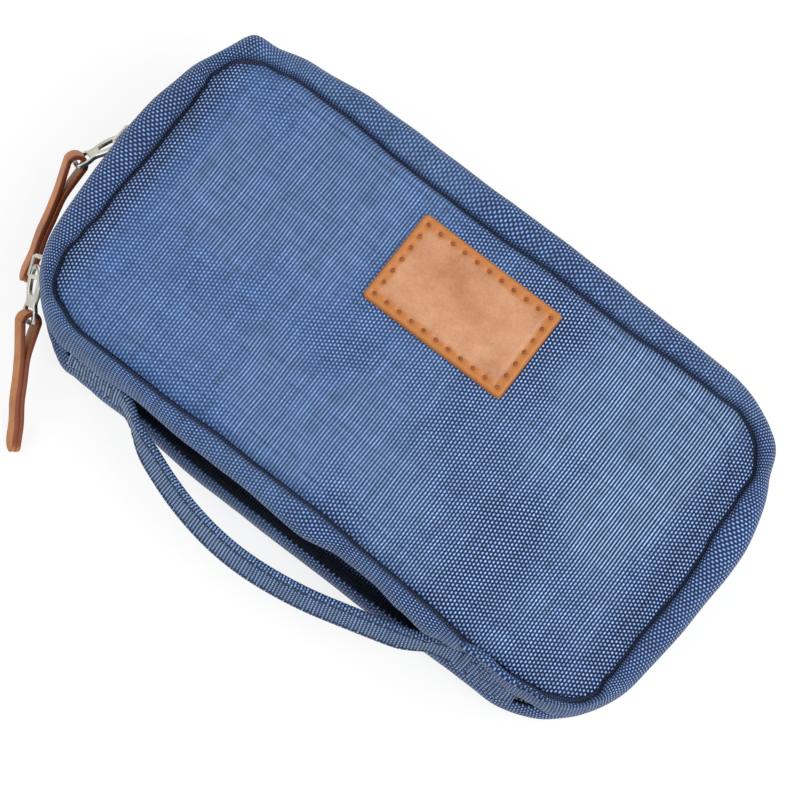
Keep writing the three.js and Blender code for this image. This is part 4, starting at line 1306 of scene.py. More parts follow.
    def make_inner_bands(self) -> None:
        """The wall lining and the binding that hides the seam inside."""
        name = self.half.value
        loop = self.outline.loop(96, 48)
        profile = self.profile[slice(*self.lined_steps)]
        spots, offset = [Vector(spot) for spot in profile], []
        for i, (a, b) in enumerate(profile):
            along = heading(spots, i)
            offset.append((a + along.y * self.wall_lining_gap, b - along.x * self.wall_lining_gap))

        def settled(station: Station, depth: float, z: float) -> Vector:
            """A point of a lining, in its half."""
            return self.drape.settle(station.inset(depth + self.wander(station, depth), z), self.half)

        mesh = self.ring(loop, offset, settled, self.half is Half.BACK)
        add_piece(f"{name}_wall_lining", mesh, Finishes.lining, self.body, [f"{name}_border_lining"],
                  "lining", self.wall_lining)
        low = self.groove_z - self.binding_drop
        box = [(self.seam + a, low + b) for a, b in self.binding_section]
        mesh = closed(self.ring(loop, box, settled, False))
        add_piece(f"{name}_seam_binding", mesh, Finishes.binding, self.body, [f"{name}_binding"], "binding")

    def row_shift(self, distance: float) -> float:
        """How far a row of teeth stands back from where it would mesh.

        Args:
            distance: the place along the chain.

        Returns:
            The gap to its meshed place.
        """
        behind, span = self.slider_reach
        slit = smooth((distance - self.far_slider + behind) / span)
        slit *= smooth((self.near_slider + behind - distance) / span)
        from_end = min(distance, self.outline.chain_length - distance)
        return slit * self.parted + (1 - eased(from_end, *self.end_reach)) * self.end_gap

    def row_z(self, height: float, distance: float) -> float:
        """Height of a point of the row over its root, in the upright front form."""
        return self.height - (self.row_root + height - self.row_shift(distance))

    def make_zip(self) -> None:
        """The woven tape and the nylon coil of this half."""
        name, total = self.half.value, self.outline.chain_length
        cells, high = 300, 8

        def tape(i: int, j: int) -> Vector:
            """Point of the tape between the row's root and the border's edge."""
            distance = self.tape_margin + (total - 2 * self.tape_margin) * i / cells
            low, top = self.row_z(0.2, distance), self.sewn_edge + self.tuck
            depth = self.tape_depth + self.tape_bow * math.sin(math.pi * j / high)
            point = self.outline.chain(distance).inset(depth, low + (top - low) * j / high)
            return self.drape.settle(point, self.half)

        def tape_flat(i: int, j: int) -> Vector:
            """Flat place of the same point."""
            return Vector((total * i / cells, j * 1.2, 0)) * MM

        mesh = bent_grid(cells, high, tape, tape_flat, self.half is Half.BACK)
        add_piece(f"{name}_zip_tape_cloth", mesh, Finishes.tape, self.body, [f"{name}_zip_tape"], "tape",
                  self.tape_thickness)
        path = self.coil_path()
        across, up = [], []
        for i, point in enumerate(path):
            ahead = heading(path, i)
            across.append(ahead.cross(Vector((point.x, point.y, 0)).normalized()).normalized())
            up.append(across[-1].cross(ahead).normalized())
        angles = [math.pi * 2 * k / self.wire_sides for k in range(self.wire_sides)]
        wire = [(self.coil_wire * math.cos(angle), self.coil_wire * math.sin(angle)) for angle in angles]
        mesh = swept(path, across, up, lambda share: wire)
        add_piece(f"{name}_zip_coil", mesh, Finishes.coil, self.body, [f"{name}_zip_teeth"], "teeth",
                  sharp=80)

    def coil_path(self) -> list[Vector]:
        """Centre line of the coil's wire, turn by turn.

        Returns:
            The line's points in the closed case.
        """
        total = self.outline.chain_length
        turns = int((total - 4) / self.coil_pitch)
        first = (total - turns * self.coil_pitch) / 2
        phase = 0.0 if self.half is Half.FRONT else 0.5
        path = []
        for step in range(turns * self.coil_steps + 1):
            turn = step / self.coil_steps
            angle = 2 * math.pi * turn
            distance = first + (turn + phase) * self.coil_pitch
            swing = 0.5 - 0.5 * math.cos(angle)
            height = self.coil_wire + (self.row_height - 2 * self.coil_wire) * swing ** 0.8
            depth = self.outline.chain_depth + (self.row_thickness / 2 - self.coil_wire) * math.sin(angle)
            point = self.outline.chain(distance).inset(depth, self.row_z(height, distance))
            path.append(self.drape.settle(point, self.half))
        return path

    def build(self) -> None:
        """Build every piece of the half."""
        self.make_border()
        self.make_panel()
        self.make_inner_bands()
        self.make_zip()


# Spine and strap

def thread_dashes(places: Sequence[tuple[Vector, Vector, Vector]], length: float,
                  radius: float) -> Mesh:
    """Short stitches of thread.

    Args:
        places: centre, direction and outward normal of each stitch, in millimetres.
        length: the stitch's length.
        radius: half the thread's thickness.

    Returns:
        All stitches in one mesh, in metres.
    """
    mesh = bmesh.new()
    for centre, along, out in places:
        side = out.cross(along).normalized()
        lift = along.cross(side).normalized()
        turn = Matrix((along.normalized(), side, lift)).transposed().to_4x4()
        size = Matrix.Diagonal((length / 2, radius, radius * 0.8, 1))
        place = Matrix.Translation(centre * MM) @ turn @ Matrix.Scale(MM, 4) @ size
        bmesh.ops.create_uvsphere(mesh, u_segments=6, v_segments=5, radius=1.0, matrix=place)
    bmesh.ops.recalc_face_normals(mesh, faces=mesh.faces)
    return mesh


@dataclass
class Spine:
    """The cloth hinge that is sunk between the two halves on the strap side."""

    outline: Outline = Outline()
    drape: Drape = Drape()
    low: float = 16.65
    high: float = 29.35
    inset: float = 2.8
    sink: float = 5.0  # how much deeper it lies in the middle
    belly: float = 0.9  # how far it is pushed in between its two edges
    folds: tuple[Triple, ...] = ((0.5, 0.0, 16.0), (0.25, 4.0, 6.0))
    thickness: float = 0.8
    lining_gap: float = 1.2
    lining_thickness: float = 0.6
    margin: float = 1.5
    half_length: float = 80.5

    def point(self, share: float, rise: float, behind: float) -> Vector:
        """A point of the spine.

        Args:
            share: from -1 to 1 along it.
            rise: from 0 to 1 between its lower edge and its upper one.
            behind: how far behind the cloth's face.

        Returns:
            The point's place.
        """
        station = self.outline.near((self.half_length - self.margin) * share)
        high = (self.high - self.low) * rise
        fold = sum(size * wave(station.x, level, rise * 9, length) for size, level, length in self.folds)
        depth = self.inset + self.sink * (1 - share ** 4) + behind
        depth += high * math.tan(self.drape.end_lean(station.x))
        depth += math.sin(math.pi * rise) * (self.belly + fold) * (1 - share ** 6)
        return station.inset(depth, self.low + high)

    def build(self) -> None:
        """The spine's cloth and its lining."""
        cells, high = 200, 16
        for name, node, behind, thickness, finish, slot in (
                ("spine_cloth", "spine_panel", 0.0, self.thickness, Finishes.spine, "spine"),
                ("spine_lining_cloth", "spine_lining", self.lining_gap, self.lining_thickness,
                 Finishes.lining, "lining")):

            def place(i: int, j: int, behind: float = behind) -> Vector:
                """Point of the sheet."""
                return self.point(2 * i / cells - 1, j / high, behind)

            def spread(i: int, j: int) -> Vector:
                """Flat place of the same point."""
                return Vector((2 * self.half_length * i / cells, 13 * j / high, 0)) * MM

            add_piece(name, bent_grid(cells, high, place, spread), finish, "spine", [node], slot, thickness)


@dataclass
class CarryStrap:
    """The wrist strap: folded webbing with its edges sewn down, and its two box-stitched ends."""

    outline: Outline = Outline()
    drape: Drape = Drape()
    width: float = 12.0
    thickness: float = 2.2
    end_thickness: float = 1.4
    end_length: float = 20.5
    end_inset: float = 0.6
    root: float = 64.02  # where the free strap meets its ends
    middle: float = 23.0
    reach: float = 15.3  # how far it bows out
    bow: Pair = (0.838, 1.3)  # powers that draw the bow's top leftwards and narrow it
    lift: float = 1.1  # it rises towards the front half there
    lean: float = math.radians(27)  # and its upper edge leans out
    waver: Pair = (0.12, 14.0)
    near_reach: float = 59.0
    seat: float = 0.3
    seam: float = 1.7  # of the top-stitching from the edges
    channel: float = 0.42  # how deep and how wide the stitching draws the webbing in
    stitch: float = 3.0
    long_thread: Pair = (2.5, 0.4)  # a stitch's length and half its thickness
    box_thread: Pair = (1.7, 0.24)
    box: Pair = (3.0, 2.2)  # of the box stitching from the root and from the tip
    box_pitch: float = 2.4

    def centre(self, share: float) -> Vector:
        """Centre of the free strap.

        Args:
            share: of its length, from the left end.

        Returns:
            The centre's place.
        """
        skew, narrow = self.bow
        bow = max(0.0, math.sin(math.pi * share ** skew)) ** narrow
        x = (self.root - self.seat) * (2 * share - 1)
        y = self.end_inset + self.thickness / 2 - self.near_reach - self.reach * bow
        y += self.width / 2 * math.sin(self.drape.end_lean(x))
        return Vector((x, y, self.middle + self.lift * bow))

    def axes(self, share: float) -> tuple[Vector, Vector, Vector]:
        """How the free strap lies.

        Args:
            share: of its length, from the left end.

        Returns:
            Its direction, its width direction and its face direction.
        """
        ahead = (self.centre(min(share + 1e-3, 1)) - self.centre(max(share - 1e-3, 0))).normalized()
        free = self.lean * smooth(2.2 * math.sin(math.pi * share))
        lean = max(free, self.drape.end_lean(self.centre(share).x))
        across = Vector((0, math.sin(lean), math.cos(lean)))
        across = (across - ahead * across.dot(ahead)).normalized()
        return ahead, across, ahead.cross(across)

    def section(self, thickness: float) -> list[Pair]:
        """The webbing's section, drawn in along its two lines of stitching.

        Args:
            thickness: the webbing's thickness.

        Returns:
            The section's points.
        """
        made = []
        for a, b in rounded_section(self.width, thickness, thickness * 0.42, 4, 0.06, 24):
            drawn = math.exp(-((abs(a) - (self.width / 2 - self.seam)) / self.channel) ** 2)
            flat = 1.0 if abs(a) < self.width / 2 - 0.3 else 0.0
            made.append((a, b - math.copysign(self.channel * drawn * flat, b)))
        return made

    def build(self) -> None:
        """The free strap, its ends and all their stitches."""
        steps = 220
        frames = [self.axes(i / steps) for i in range(steps + 1)]
        far, length = self.waver
        path = []
        for i, (_, across, _) in enumerate(frames):
            centre = self.centre(i / steps)
            path.append(centre + across * far * wave(centre.x, 2, 5, length))
        section = self.section(self.thickness)
        _, widths, faces = zip(*frames)
        mesh = swept(path, widths, faces, lambda share: section)
        add_piece("strap_webbing", mesh, Finishes.strap, "handle", ["handle_strap"], "strap", sharp=70)
        run, places = lengths_along(path), []
        for count in range(int(run[-1] / self.stitch)):
            i = next(k for k, value in enumerate(run) if value >= (count + 0.5) * self.stitch)
            ahead, across, face = frames[i]
            for edge, side in ((-1, -1), (-1, 1), (1, -1), (1, 1)):
                offset = across * edge * (self.width / 2 - self.seam)
                offset += face * side * (self.thickness / 2 - 0.1)
                places.append((path[i] + offset, ahead, face * side))
        add_piece("strap_stitches", thread_dashes(places, *self.long_thread), Finishes.blue_thread, "handle",
                  (), "strap")
        for side, name in ((-1, "left"), (1, "right")):
            self.build_end(side, name)

    def build_end(self, side: int, name: str) -> None:
        """One sewn end with its box of stitches.

        Args:
            side: -1 for the left end, 1 for the right one.
            name: the end's name.
        """
        steps = 40
        depth = self.end_inset + self.end_thickness / 2
        path, up, out = [], [], []
        for i in range(steps + 1):
            x = side * (self.root + self.end_length * i / steps)
            station, lean = self.outline.near(x), self.drape.end_lean(x)
            path.append(station.inset(depth + self.width / 2 * math.sin(lean), self.middle))
            flat = Vector((station.nx, station.ny, 0))
            up.append(Vector((0, 0, math.cos(lean))) - flat * math.sin(lean))
            out.append(flat * math.cos(lean) + Vector((0, 0, math.sin(lean))))
        section = rounded_section(self.width, self.end_thickness, self.end_thickness * 0.4, 3, 0.08, 16)
        mesh = swept(path, up, out, lambda share: section)
        add_piece(f"strap_end_{name}_webbing", mesh, Finishes.strap, "spine", [f"handle_tab_{name}"], "strap",
                  sharp=70)
        run, places = lengths_along(path), []
        low, high, half = self.box[0], self.end_length - self.box[1], self.width / 2 - self.seam
        corners = [(low, -half), (high, -half), (high, half), (low, half), (low, -half), (high, half),
                   (high, -half), (low, half)]
        for (a0, b0), (a1, b1) in zip(corners, corners[1:]):
            count = max(2, round(math.hypot(a1 - a0, b1 - b0) / self.box_pitch))
            for share in ((k + 0.5) / count for k in range(count)):
                a, b = a0 + (a1 - a0) * share, b0 + (b1 - b0) * share
                i = min(range(len(run)), key=lambda n: abs(run[n] - a))
                along = heading(path, i) * (a1 - a0) + up[i] * (b1 - b0)
                centre = path[i] + out[i] * (self.end_thickness / 2 + 0.06) + up[i] * b
                places.append((centre, along, out[i]))
        add_piece(f"strap_end_{name}_stitches", thread_dashes(places, *self.box_thread), Finishes.blue_thread,
                  "spine", (), "strap")


# Zip sliders and pulls

@dataclass
class ZipPull:
    """A slider with its ring plate and the leather strip folded through it."""

    name: str
    run: float  # distance along the chain
    ring_swing: float  # degrees
    leather_swing: float
    bend: float = 3.0  # of the leather away from its line
    outline: Outline = Outline()
    slider_length: float = 11.0
    middle: float = 23.0
    plate: float = 1.2  # the slider's plate, the room in it and the bar's height over it
    room: float = 3.6
    rise: float = 3.5
    droop: float = math.radians(18)  # how far the ring hangs down, and how far it rolls over
    roll: float = math.radians(36)
    slider_rounding: float = 0.22
    ring_length: float = 17.0
    ring_thickness: float = 1.4
    ring_bevel: float = 0.32
    # Places along the plate and across it: the oval head, then the neck and the wider end.
    ring_head: Triple = (5.3, 6.1, 4.3)  # the oval's middle and its half measures
    ring_edge: tuple[Pair, ...] = (
        (10.3, 3.0), (11.4, 3.0), (12.5, 3.6), (13.6, 4.0), (15.4, 4.05), (16.9, 3.6), (17.7, 2.2), (17.8, 0))
    window_middle: Pair = (4.8, -0.4)
    window_half: Pair = (4.0, 2.1)
    window_power: float = 0.4
    slot_middle: float = 14.4
    slot: Triple = (5.6, 3.8, 0.9)  # across, along and corner
    leather_width: float = 5.0
    leather_length: float = 41.0
    leather_corner: float = 0.32
    layer: float = 1.55
    eye: float = 2.7  # radius of the fold round the ring's bar
    neck: float = 11.0  # from the bar to where the layers would meet in a straight line
    bend_from: Pair = (6.0, 35.0)  # the leather bends from here on, over this much
    sway: Pair = (0.25, 0.45)  # how far the leather waves and how closely
    worn_edge: Pair = (0.84, 0.12)  # of its half width, where the burnishing starts

    @cached_property
    def axes(self) -> tuple[Vector, Vector, Vector, Vector]:
        """The bar's axis, the pivot, the way down and the way out."""
        station, depth = self.outline.chain(self.run), self.outline.chain_depth
        back, ahead = (self.outline.chain(self.run + side * self.slider_length / 2).inset(depth, 0)
                       for side in (-1, 1))
        sink = ((back + ahead) / 2 - station.inset(depth, 0)).length / 2
        w, v = Vector((station.nx, station.ny, 0)), Vector((0, 0, 1))
        u = v.cross(w)
        down = u * math.cos(self.droop) - v * math.sin(self.droop)
        up = u * math.sin(self.droop) + v * math.cos(self.droop)
        axis = up * math.cos(self.roll) - w * math.sin(self.roll)
        out = w * math.cos(self.roll) + up * math.sin(self.roll)
        pivot = station.inset(sink, self.middle) + w * (self.plate - (depth - self.room / 2) + self.rise)
        return axis, pivot, down, out

    def swung(self, degrees: float) -> Vector:
        """The way a part points that hangs at a swing."""
        _, _, down, out = self.axes
        return down * math.cos(math.radians(degrees)) + out * math.sin(math.radians(degrees))

    def build(self) -> None:
        """Slider, ring and leather."""
        self.build_slider()
        self.build_ring()
        self.build_leather()

    def build_slider(self) -> None:
        """The cast slider: the frame's own shape with its edges rounded."""
        mesh = bmesh.new()
        mesh.from_mesh(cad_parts[f"slider_{self.name}"].data)
        merged(mesh)
        bmesh.ops.dissolve_limit(mesh, angle_limit=math.radians(1), verts=mesh.verts, edges=mesh.edges)
        bmesh.ops.recalc_face_normals(mesh, faces=mesh.faces)
        add_piece(f"slider_{self.name}_casting", mesh, Finishes.metal, f"slider_{self.name}",
                  [f"slider_{self.name}"], "metal", sharp=30, rounding=self.slider_rounding)

    def ring_outline(self) -> tuple[list[Pair], ...]:
        """The flat ring plate, from the slider's bar outwards.

        Returns:
            Its outer edge, its window and its slot.
        """
        middle, long, wide = self.ring_head
        turns = [math.pi * k / 14 for k in range(10)]
        head = [(middle - long * math.cos(turn), wide * math.sin(turn)) for turn in turns]
        half = curve_through(head + list(self.ring_edge), 84)
        outer = half + [(s, -h) for s, h in half[-2:0:-1]]
        window = []
        for k in range(36):
            angle = 2 * math.pi * k / 36
            bulge = math.copysign(abs(math.sin(angle)) ** self.window_power, math.sin(angle))
            window.append((self.window_middle[0] + self.window_half[0] * math.cos(angle),
                           self.window_middle[1] + self.window_half[1] * bulge))
        slot = [(a + self.slot_middle, b) for b, a in rounded_section(*self.slot, 4, 0.0, 2)]
        return outer, window, slot

    def build_ring(self) -> None:
        """The cast ring plate, from a flat curve with holes."""
        flat = bpy.data.curves.new("ring_plate", "CURVE")
        flat.dimensions, flat.fill_mode = "2D", "BOTH"
        flat.extrude = self.ring_thickness / 2 - self.ring_bevel
        flat.bevel_depth, flat.bevel_resolution, flat.offset = self.ring_bevel, 2, -self.ring_bevel
        for points in self.ring_outline():
            spline = flat.splines.new("POLY")
            spline.points.add(len(points) - 1)
            for target, (s, h) in zip(spline.points, points):
                target.co = (s, h, 0, 1)
            spline.use_cyclic_u = True
        holder = bpy.data.objects.new("ring_plate", flat)
        data = bpy.data.meshes.new_from_object(holder)
        mesh = bmesh.new()
        mesh.from_mesh(data)
        bpy.data.objects.remove(holder)
        bpy.data.curves.remove(flat)
        bpy.data.meshes.remove(data)
        merged(mesh, 1.0)
        axis, pivot, _, _ = self.axes
        first = self.swung(self.ring_swing)
        turn = Matrix((first, axis, first.cross(axis))).transposed().to_4x4()
        mesh.transform(Matrix.Translation(pivot * MM) @ turn @ Matrix.Scale(MM, 4))
        bmesh.ops.recalc_face_normals(mesh, faces=mesh.faces)
        add_piece(f"ring_{self.name}_plate", mesh, Finishes.metal, f"ring_{self.name}",
                  [f"pull_ring_{self.name}"], "metal", sharp=40)

    def leather_path(self) -> list[Pair]:
        """The folded strip seen from its side.

        Returns:
            Points along the strip and across it, from the ring's bar.
        """
        turn = math.acos(self.eye / self.neck)
        half = self.layer / 2 + 0.03
        lower = [(self.leather_length, -half), (34, -half), (27, -half), (20, -half), (14, -half - 0.05)]
        arc = [(self.eye * math.cos(angle), self.eye * math.sin(angle))
               for angle in (-turn - 0.1 - (2 * math.pi - 2 * turn - 0.2) * k / 16 for k in range(17))]
        upper = [(p, -q) for p, q in lower[::-1]]
        (far, close), (start, span) = self.sway, self.bend_from
        bent = []
        for p, q in curve_through(lower + [(9.5, -1.15)] + arc + [(9.5, 1.15)] + upper, 200):
            share = max(0.0, p - start) / span
            bent.append((p, q + self.bend * share ** 1.6 + far * math.sin(p * close) * share))
        return bent

    def build_leather(self) -> None:
        """The folded leather strip: two layers and the eye round the ring's bar."""
        axis, pivot, _, _ = self.axes
        bar = pivot + self.swung(self.ring_swing) * self.ring_length
        first = self.swung(self.leather_swing)
        second = axis.cross(first)
        path = [bar + first * p + second * q for p, q in self.leather_path()]
        up = [heading(path, i).cross(axis).normalized() for i in range(len(path))]
        length = lengths_along(path)[-1]

        def section(share: float) -> list[Pair]:
            """The strip's section, rounded in at its two tips."""
            tip = self.leather_width * 0.45
            off = max(0.0, 1 - min(share, 1 - share) * length / tip)
            width = self.leather_width * max(0.3, math.sqrt(1 - 0.9 * off ** 2))
            return rounded_section(width, self.layer, self.leather_corner, 3, 0.05, 8)

        mesh = swept(path, [axis] * len(path), up, section)
        mark = mesh.verts.layers.float.new("worn")
        for vert in mesh.verts:
            across = abs((vert.co / MM - bar).dot(axis)) / (self.leather_width / 2)
            vert[mark] = eased(across, *self.worn_edge)
        add_piece(f"leather_{self.name}_strip", mesh, Finishes.leather, f"leather_{self.name}",
                  [f"pull_leather_{self.name}"], "leather", sharp=60)


# Label

@dataclass
class LeatherLabel:
    """The stitched leather label on the front panel, left bare."""

    drape: Drape = Drape()
    length: float = 50.6
    width: float = 31.6
    thickness: float = 1.7
    corner: float = 1.5
    x: float = 0.8
    y: float = 25.0
    height: float = 46.0
    seam: float = 2.7  # of the stitching from the label's edge
    long_stitches: int = 11
    short_stitches: int = 6
    thread: Pair = (2.1, 0.7)  # a stitch's length and half its thickness
    pull: Pair = (0.85, 1.3)  # how deep a stitch draws the leather in, mm2 of its spread
    ridge: Triple = (0.2, 1.5, 0.8)  # height, distance from the edge and width
    groove: Triple = (0.12, 3.7, 0.7)
    waves: tuple[Triple, ...] = ((0.1, 3.0, 11.0), (0.06, 8.0, 4.0))
    worn: float = 0.92  # how dark the band along the edge is burnished
    worn_band: Pair = (2.9, 1.3)
    seat: float = 0.15

    def under(self, x: float, y: float) -> float:
        """Height of the panel's face that carries the label."""
        return self.height + self.drape.crown_at(x, y) + self.drape.swell_at(x, y, Half.FRONT)

    def rounded(self, a: float, b: float) -> Pair:
        """Turn a place in a square into a place in the label's rounded outline.

        Args:
            a: from -1 to 1 along the label.
            b: from -1 to 1 across it.

        Returns:
            The place in millimetres.
        """
        half_x, half_y = self.length / 2, self.width / 2
        x, y = a * half_x, b * half_y
        p = (abs(x) - half_x + self.corner) / self.corner
        q = (abs(y) - half_y + self.corner) / self.corner
        if p > 0 and q > 0:
            p, q = p * math.sqrt(1 - q * q / 2), q * math.sqrt(1 - p * p / 2)
            x = math.copysign(half_x - self.corner + p * self.corner, x)
            y = math.copysign(half_y - self.corner + q * self.corner, y)
        return x, y

    def edge_distance(self, x: float, y: float) -> float:
        """Distance of a place from the label's edge.

        Args:
            x: the place along the label.
            y: the place across it.

        Returns:
            The distance.
        """
        dx, dy = self.length / 2 - abs(x), self.width / 2 - abs(y)
        if dx < self.corner and dy < self.corner:
            return self.corner - math.hypot(self.corner - dx, self.corner - dy)
        return min(dx, dy)

    @cached_property
    def stitches(self) -> list[tuple[float, float, float, float]]:
        """Centre and direction of each stitch on the label's face."""
        half_x, half_y = self.length / 2 - self.seam, self.width / 2 - self.seam
        made = []
        for i in range(self.long_stitches):
            at = half_x * (2 * i / (self.long_stitches - 1) - 1)
            made += [(at, -half_y, 1.0, 0.0), (at, half_y, 1.0, 0.0)]
        for i in range(1, self.short_stitches):
            at = half_y * (2 * i / self.short_stitches - 1)
            made += [(-half_x, at, 0.0, 1.0), (half_x, at, 0.0, 1.0)]
        return made

    def rise(self, x: float, y: float) -> float:
        """Height of the leather's face over the panel.

        Args:
            x: the place along the label.
            y: the place across it.

        Returns:
            The height.
        """
        edge = self.edge_distance(x, y)
        high = self.thickness * (1 - 0.5 * (1 - smooth(edge / 0.9)) ** 2) - self.seat
        for sign, (size, place, width) in ((1, self.ridge), (-1, self.groove)):
            high += sign * size * math.exp(-((edge - place) / width) ** 2)
        high += sum(size * wave(x, y, level, length) for size, level, length in self.waves)
        depth, spread = self.pull
        for cx, cy, _, _ in self.stitches:
            if abs(x - cx) < 4 and abs(y - cy) < 4:
                high -= depth * math.exp(-((x - cx) ** 2 + (y - cy) ** 2) / spread)
        return high

    def point(self, x: float, y: float, lift: float) -> Vector:
        """A point of the label at a height over the panel, in its place on the lid."""
        px, py = self.x + x, self.y + y
        return self.drape.settle(Vector((px, py, self.under(px, py) + self.seat + lift)), Half.FRONT)

    def build(self) -> None:
        """The leather and its thread."""
        columns, rows = 176, 110

        def flat(i: int, j: int) -> Pair:
            """Flat place of a grid point."""
            return self.rounded(2 * i / columns - 1, 2 * j / rows - 1)

        def place(i: int, j: int) -> Vector:
            """Point of the leather's face."""
            x, y = flat(i, j)
            return self.point(x, y, self.rise(x, y))

        def worn(i: int, j: int) -> float:
            """How burnished the leather is, in a band along its edge."""
            x, y = flat(i, j)
            edge = self.edge_distance(x, y) + 0.5 * wave(x, y, 6.0, 5.0)
            return self.worn * (1 - eased(edge, *self.worn_band))

        mesh = bent_grid(columns, rows, place, None, False, worn)
        rim = [edge for edge in mesh.edges if edge.is_boundary]
        made = bmesh.ops.extrude_edge_only(mesh, edges=rim)["geom"]
        low = [item for item in made if isinstance(item, bmesh.types.BMVert)]
        bmesh.ops.translate(mesh, verts=low, vec=(0, 0, -self.thickness * 0.5 * MM))
        bmesh.ops.holes_fill(mesh, edges=[edge for edge in mesh.edges if edge.is_boundary], sides=0)
        bmesh.ops.recalc_face_normals(mesh, faces=mesh.faces)
        add_piece("label_leather", mesh, Finishes.label, "lid", ["leather_patch"], "label", sharp=70)
        places = []
        for cx, cy, dx, dy in self.stitches:
            spots = ((cx - dx, cy - dy), (cx + dx, cy + dy))
            start, end = (self.point(x, y, self.rise(x, y)) for x, y in spots)
            centre = self.point(cx, cy, self.rise(cx, cy) + 0.02)
            places.append((centre, end - start, Vector((0, 0, 1))))
        add_piece("label_stitches", thread_dashes(places, *self.thread), Finishes.thread, "lid", (), "label")


# Inside

@dataclass
class Band:
    """One elastic band or loop on the back lining."""

    name: str
    x: float
    y: float
    width: float
    span: float  # between its feet
    rise: float
    power: float  # 2 for a round arch, more for a squarer one


@dataclass
class Interior:
    """The elastic bands and loops of the back half and the mesh pocket of the front one."""

    drape: Drape = Drape()
    floor: float = 6.1
    foot: float = 5.0
    thickness: float = 1.2
    stitch_pitch: float = 2.4
    thread: Pair = (1.7, 0.22)  # a stitch's length and half its thickness
    pocket_x: float = 80.0
    pocket_y: Pair = (-42.0, 10.0)
    pocket_z: float = 40.0
    strand: float = 0.42
    strand_share: float = 0.56  # of the net's face that its strands cover
    diamond: float = 0.28  # how far alternate columns are shifted
    hem: float = 5.0
    hem_thickness: float = 1.4
    bands: tuple[Band, ...] = (
        Band("meter_band_left", -74, 0, 18, 58, 12, 5), Band("meter_band_right", -36, 0, 18, 58, 12, 5),
        Band("pen_loop_left", 14, 32, 12, 17, 14, 2.5), Band("pen_loop_right", 74, 32, 12, 17, 14, 2.5),
        Band("strip_vial_loop", 44, -14, 16, 30, 22, 2.5))

    def build(self) -> None:
        """Every band, the pocket and its hem."""
        for band in self.bands:
            self.build_band(band)
        self.build_pocket()

    def build_band(self, band: Band) -> None:
        """One band: flat feet and an arch, with its feet stitched down.

        Args:
            band: the band's place and measures.
        """
        steps, arch = 48, []
        for i in range(steps + 1):
            angle = math.pi * (1 - i / steps)
            bend = [math.copysign(abs(value) ** (2 / band.power), value)
                    for value in (math.cos(angle), math.sin(angle))]
            arch.append((band.span / 2 * bend[0], band.rise * bend[1]))
        feet = [(band.span / 2 + self.foot / 2, 0), (band.span / 2 + self.foot, 0)]
        line = [(-a, b) for a, b in feet[::-1]] + arch + feet
        path = [Vector((band.x, band.y + a, self.floor + b)) for a, b in line]
        across = [Vector((1, 0, 0))] * len(path)
        up = [across[i].cross(heading(path, i)).normalized() for i in range(len(path))]
        section = rounded_section(band.width, self.thickness, 0.35, 2, 0.04, 10)
        mesh = swept(path, across, up, lambda share: section)
        add_piece(f"{band.name}_webbing", mesh, Finishes.elastic, "base", [band.name], "elastic", sharp=70)
        places, count = [], round(band.width / self.stitch_pitch)
        for side in (-1, 1):
            for k in range(count):
                at = band.x - band.width / 2 + (k + 0.5) * band.width / count
                centre = Vector((at, band.y + side * (band.span / 2 + self.foot * 0.55), self.floor + 0.62))
                places.append((centre, Vector((1, 0, 0)), Vector((0, 0, 1))))
        add_piece(f"{band.name}_stitches", thread_dashes(places, *self.thread), Finishes.blue_thread, "base",
                  (), "elastic")

    def under_lining(self, x: float, y: float, drop: float) -> Vector:
        """A point that hangs drop below the front lining."""
        lift = self.drape.crown_at(x, y) + self.drape.swell_at(x, y, Half.FRONT)
        return self.drape.settle(Vector((x, y, self.pocket_z - drop + lift)), Half.FRONT)

    def build_pocket(self) -> None:
        """The knitted mesh and its elastic hem."""
        columns, rows = 88, 29
        low, high = self.pocket_y

        def place(i: int, j: int) -> Vector:
            """Point of the mesh, alternate columns shifted into diamonds."""
            shift = self.diamond * (1 if (i + j) % 2 else -1)
            y = low + (high - low) * j / rows + (shift if 0 < j < rows else 0)
            return self.under_lining(self.pocket_x * (2 * i / columns - 1), y, 0.4)

        mesh = bent_grid(columns, rows, place)
        bmesh.ops.wireframe(mesh, faces=mesh.faces, thickness=self.strand * MM, use_replace=True,
                            use_boundary=True, use_even_offset=False)
        net = add_piece("pocket_mesh_net", mesh, Finishes.mesh, "lid", ["mesh_pocket"], "mesh", sharp=80)

        def hem(i: int, j: int) -> Vector:
            """Point of the hem."""
            x = self.pocket_x * (2 * i / 90 - 1)
            return self.under_lining(x, high + 0.3 + self.hem * j / 6, 0.2 * abs(math.sin(x * 1.3)))

        add_piece("pocket_hem_webbing", bent_grid(90, 6, hem, None, True), Finishes.elastic, "lid",
                  ["pocket_hem"], "elastic", self.hem_thickness)


# Studio

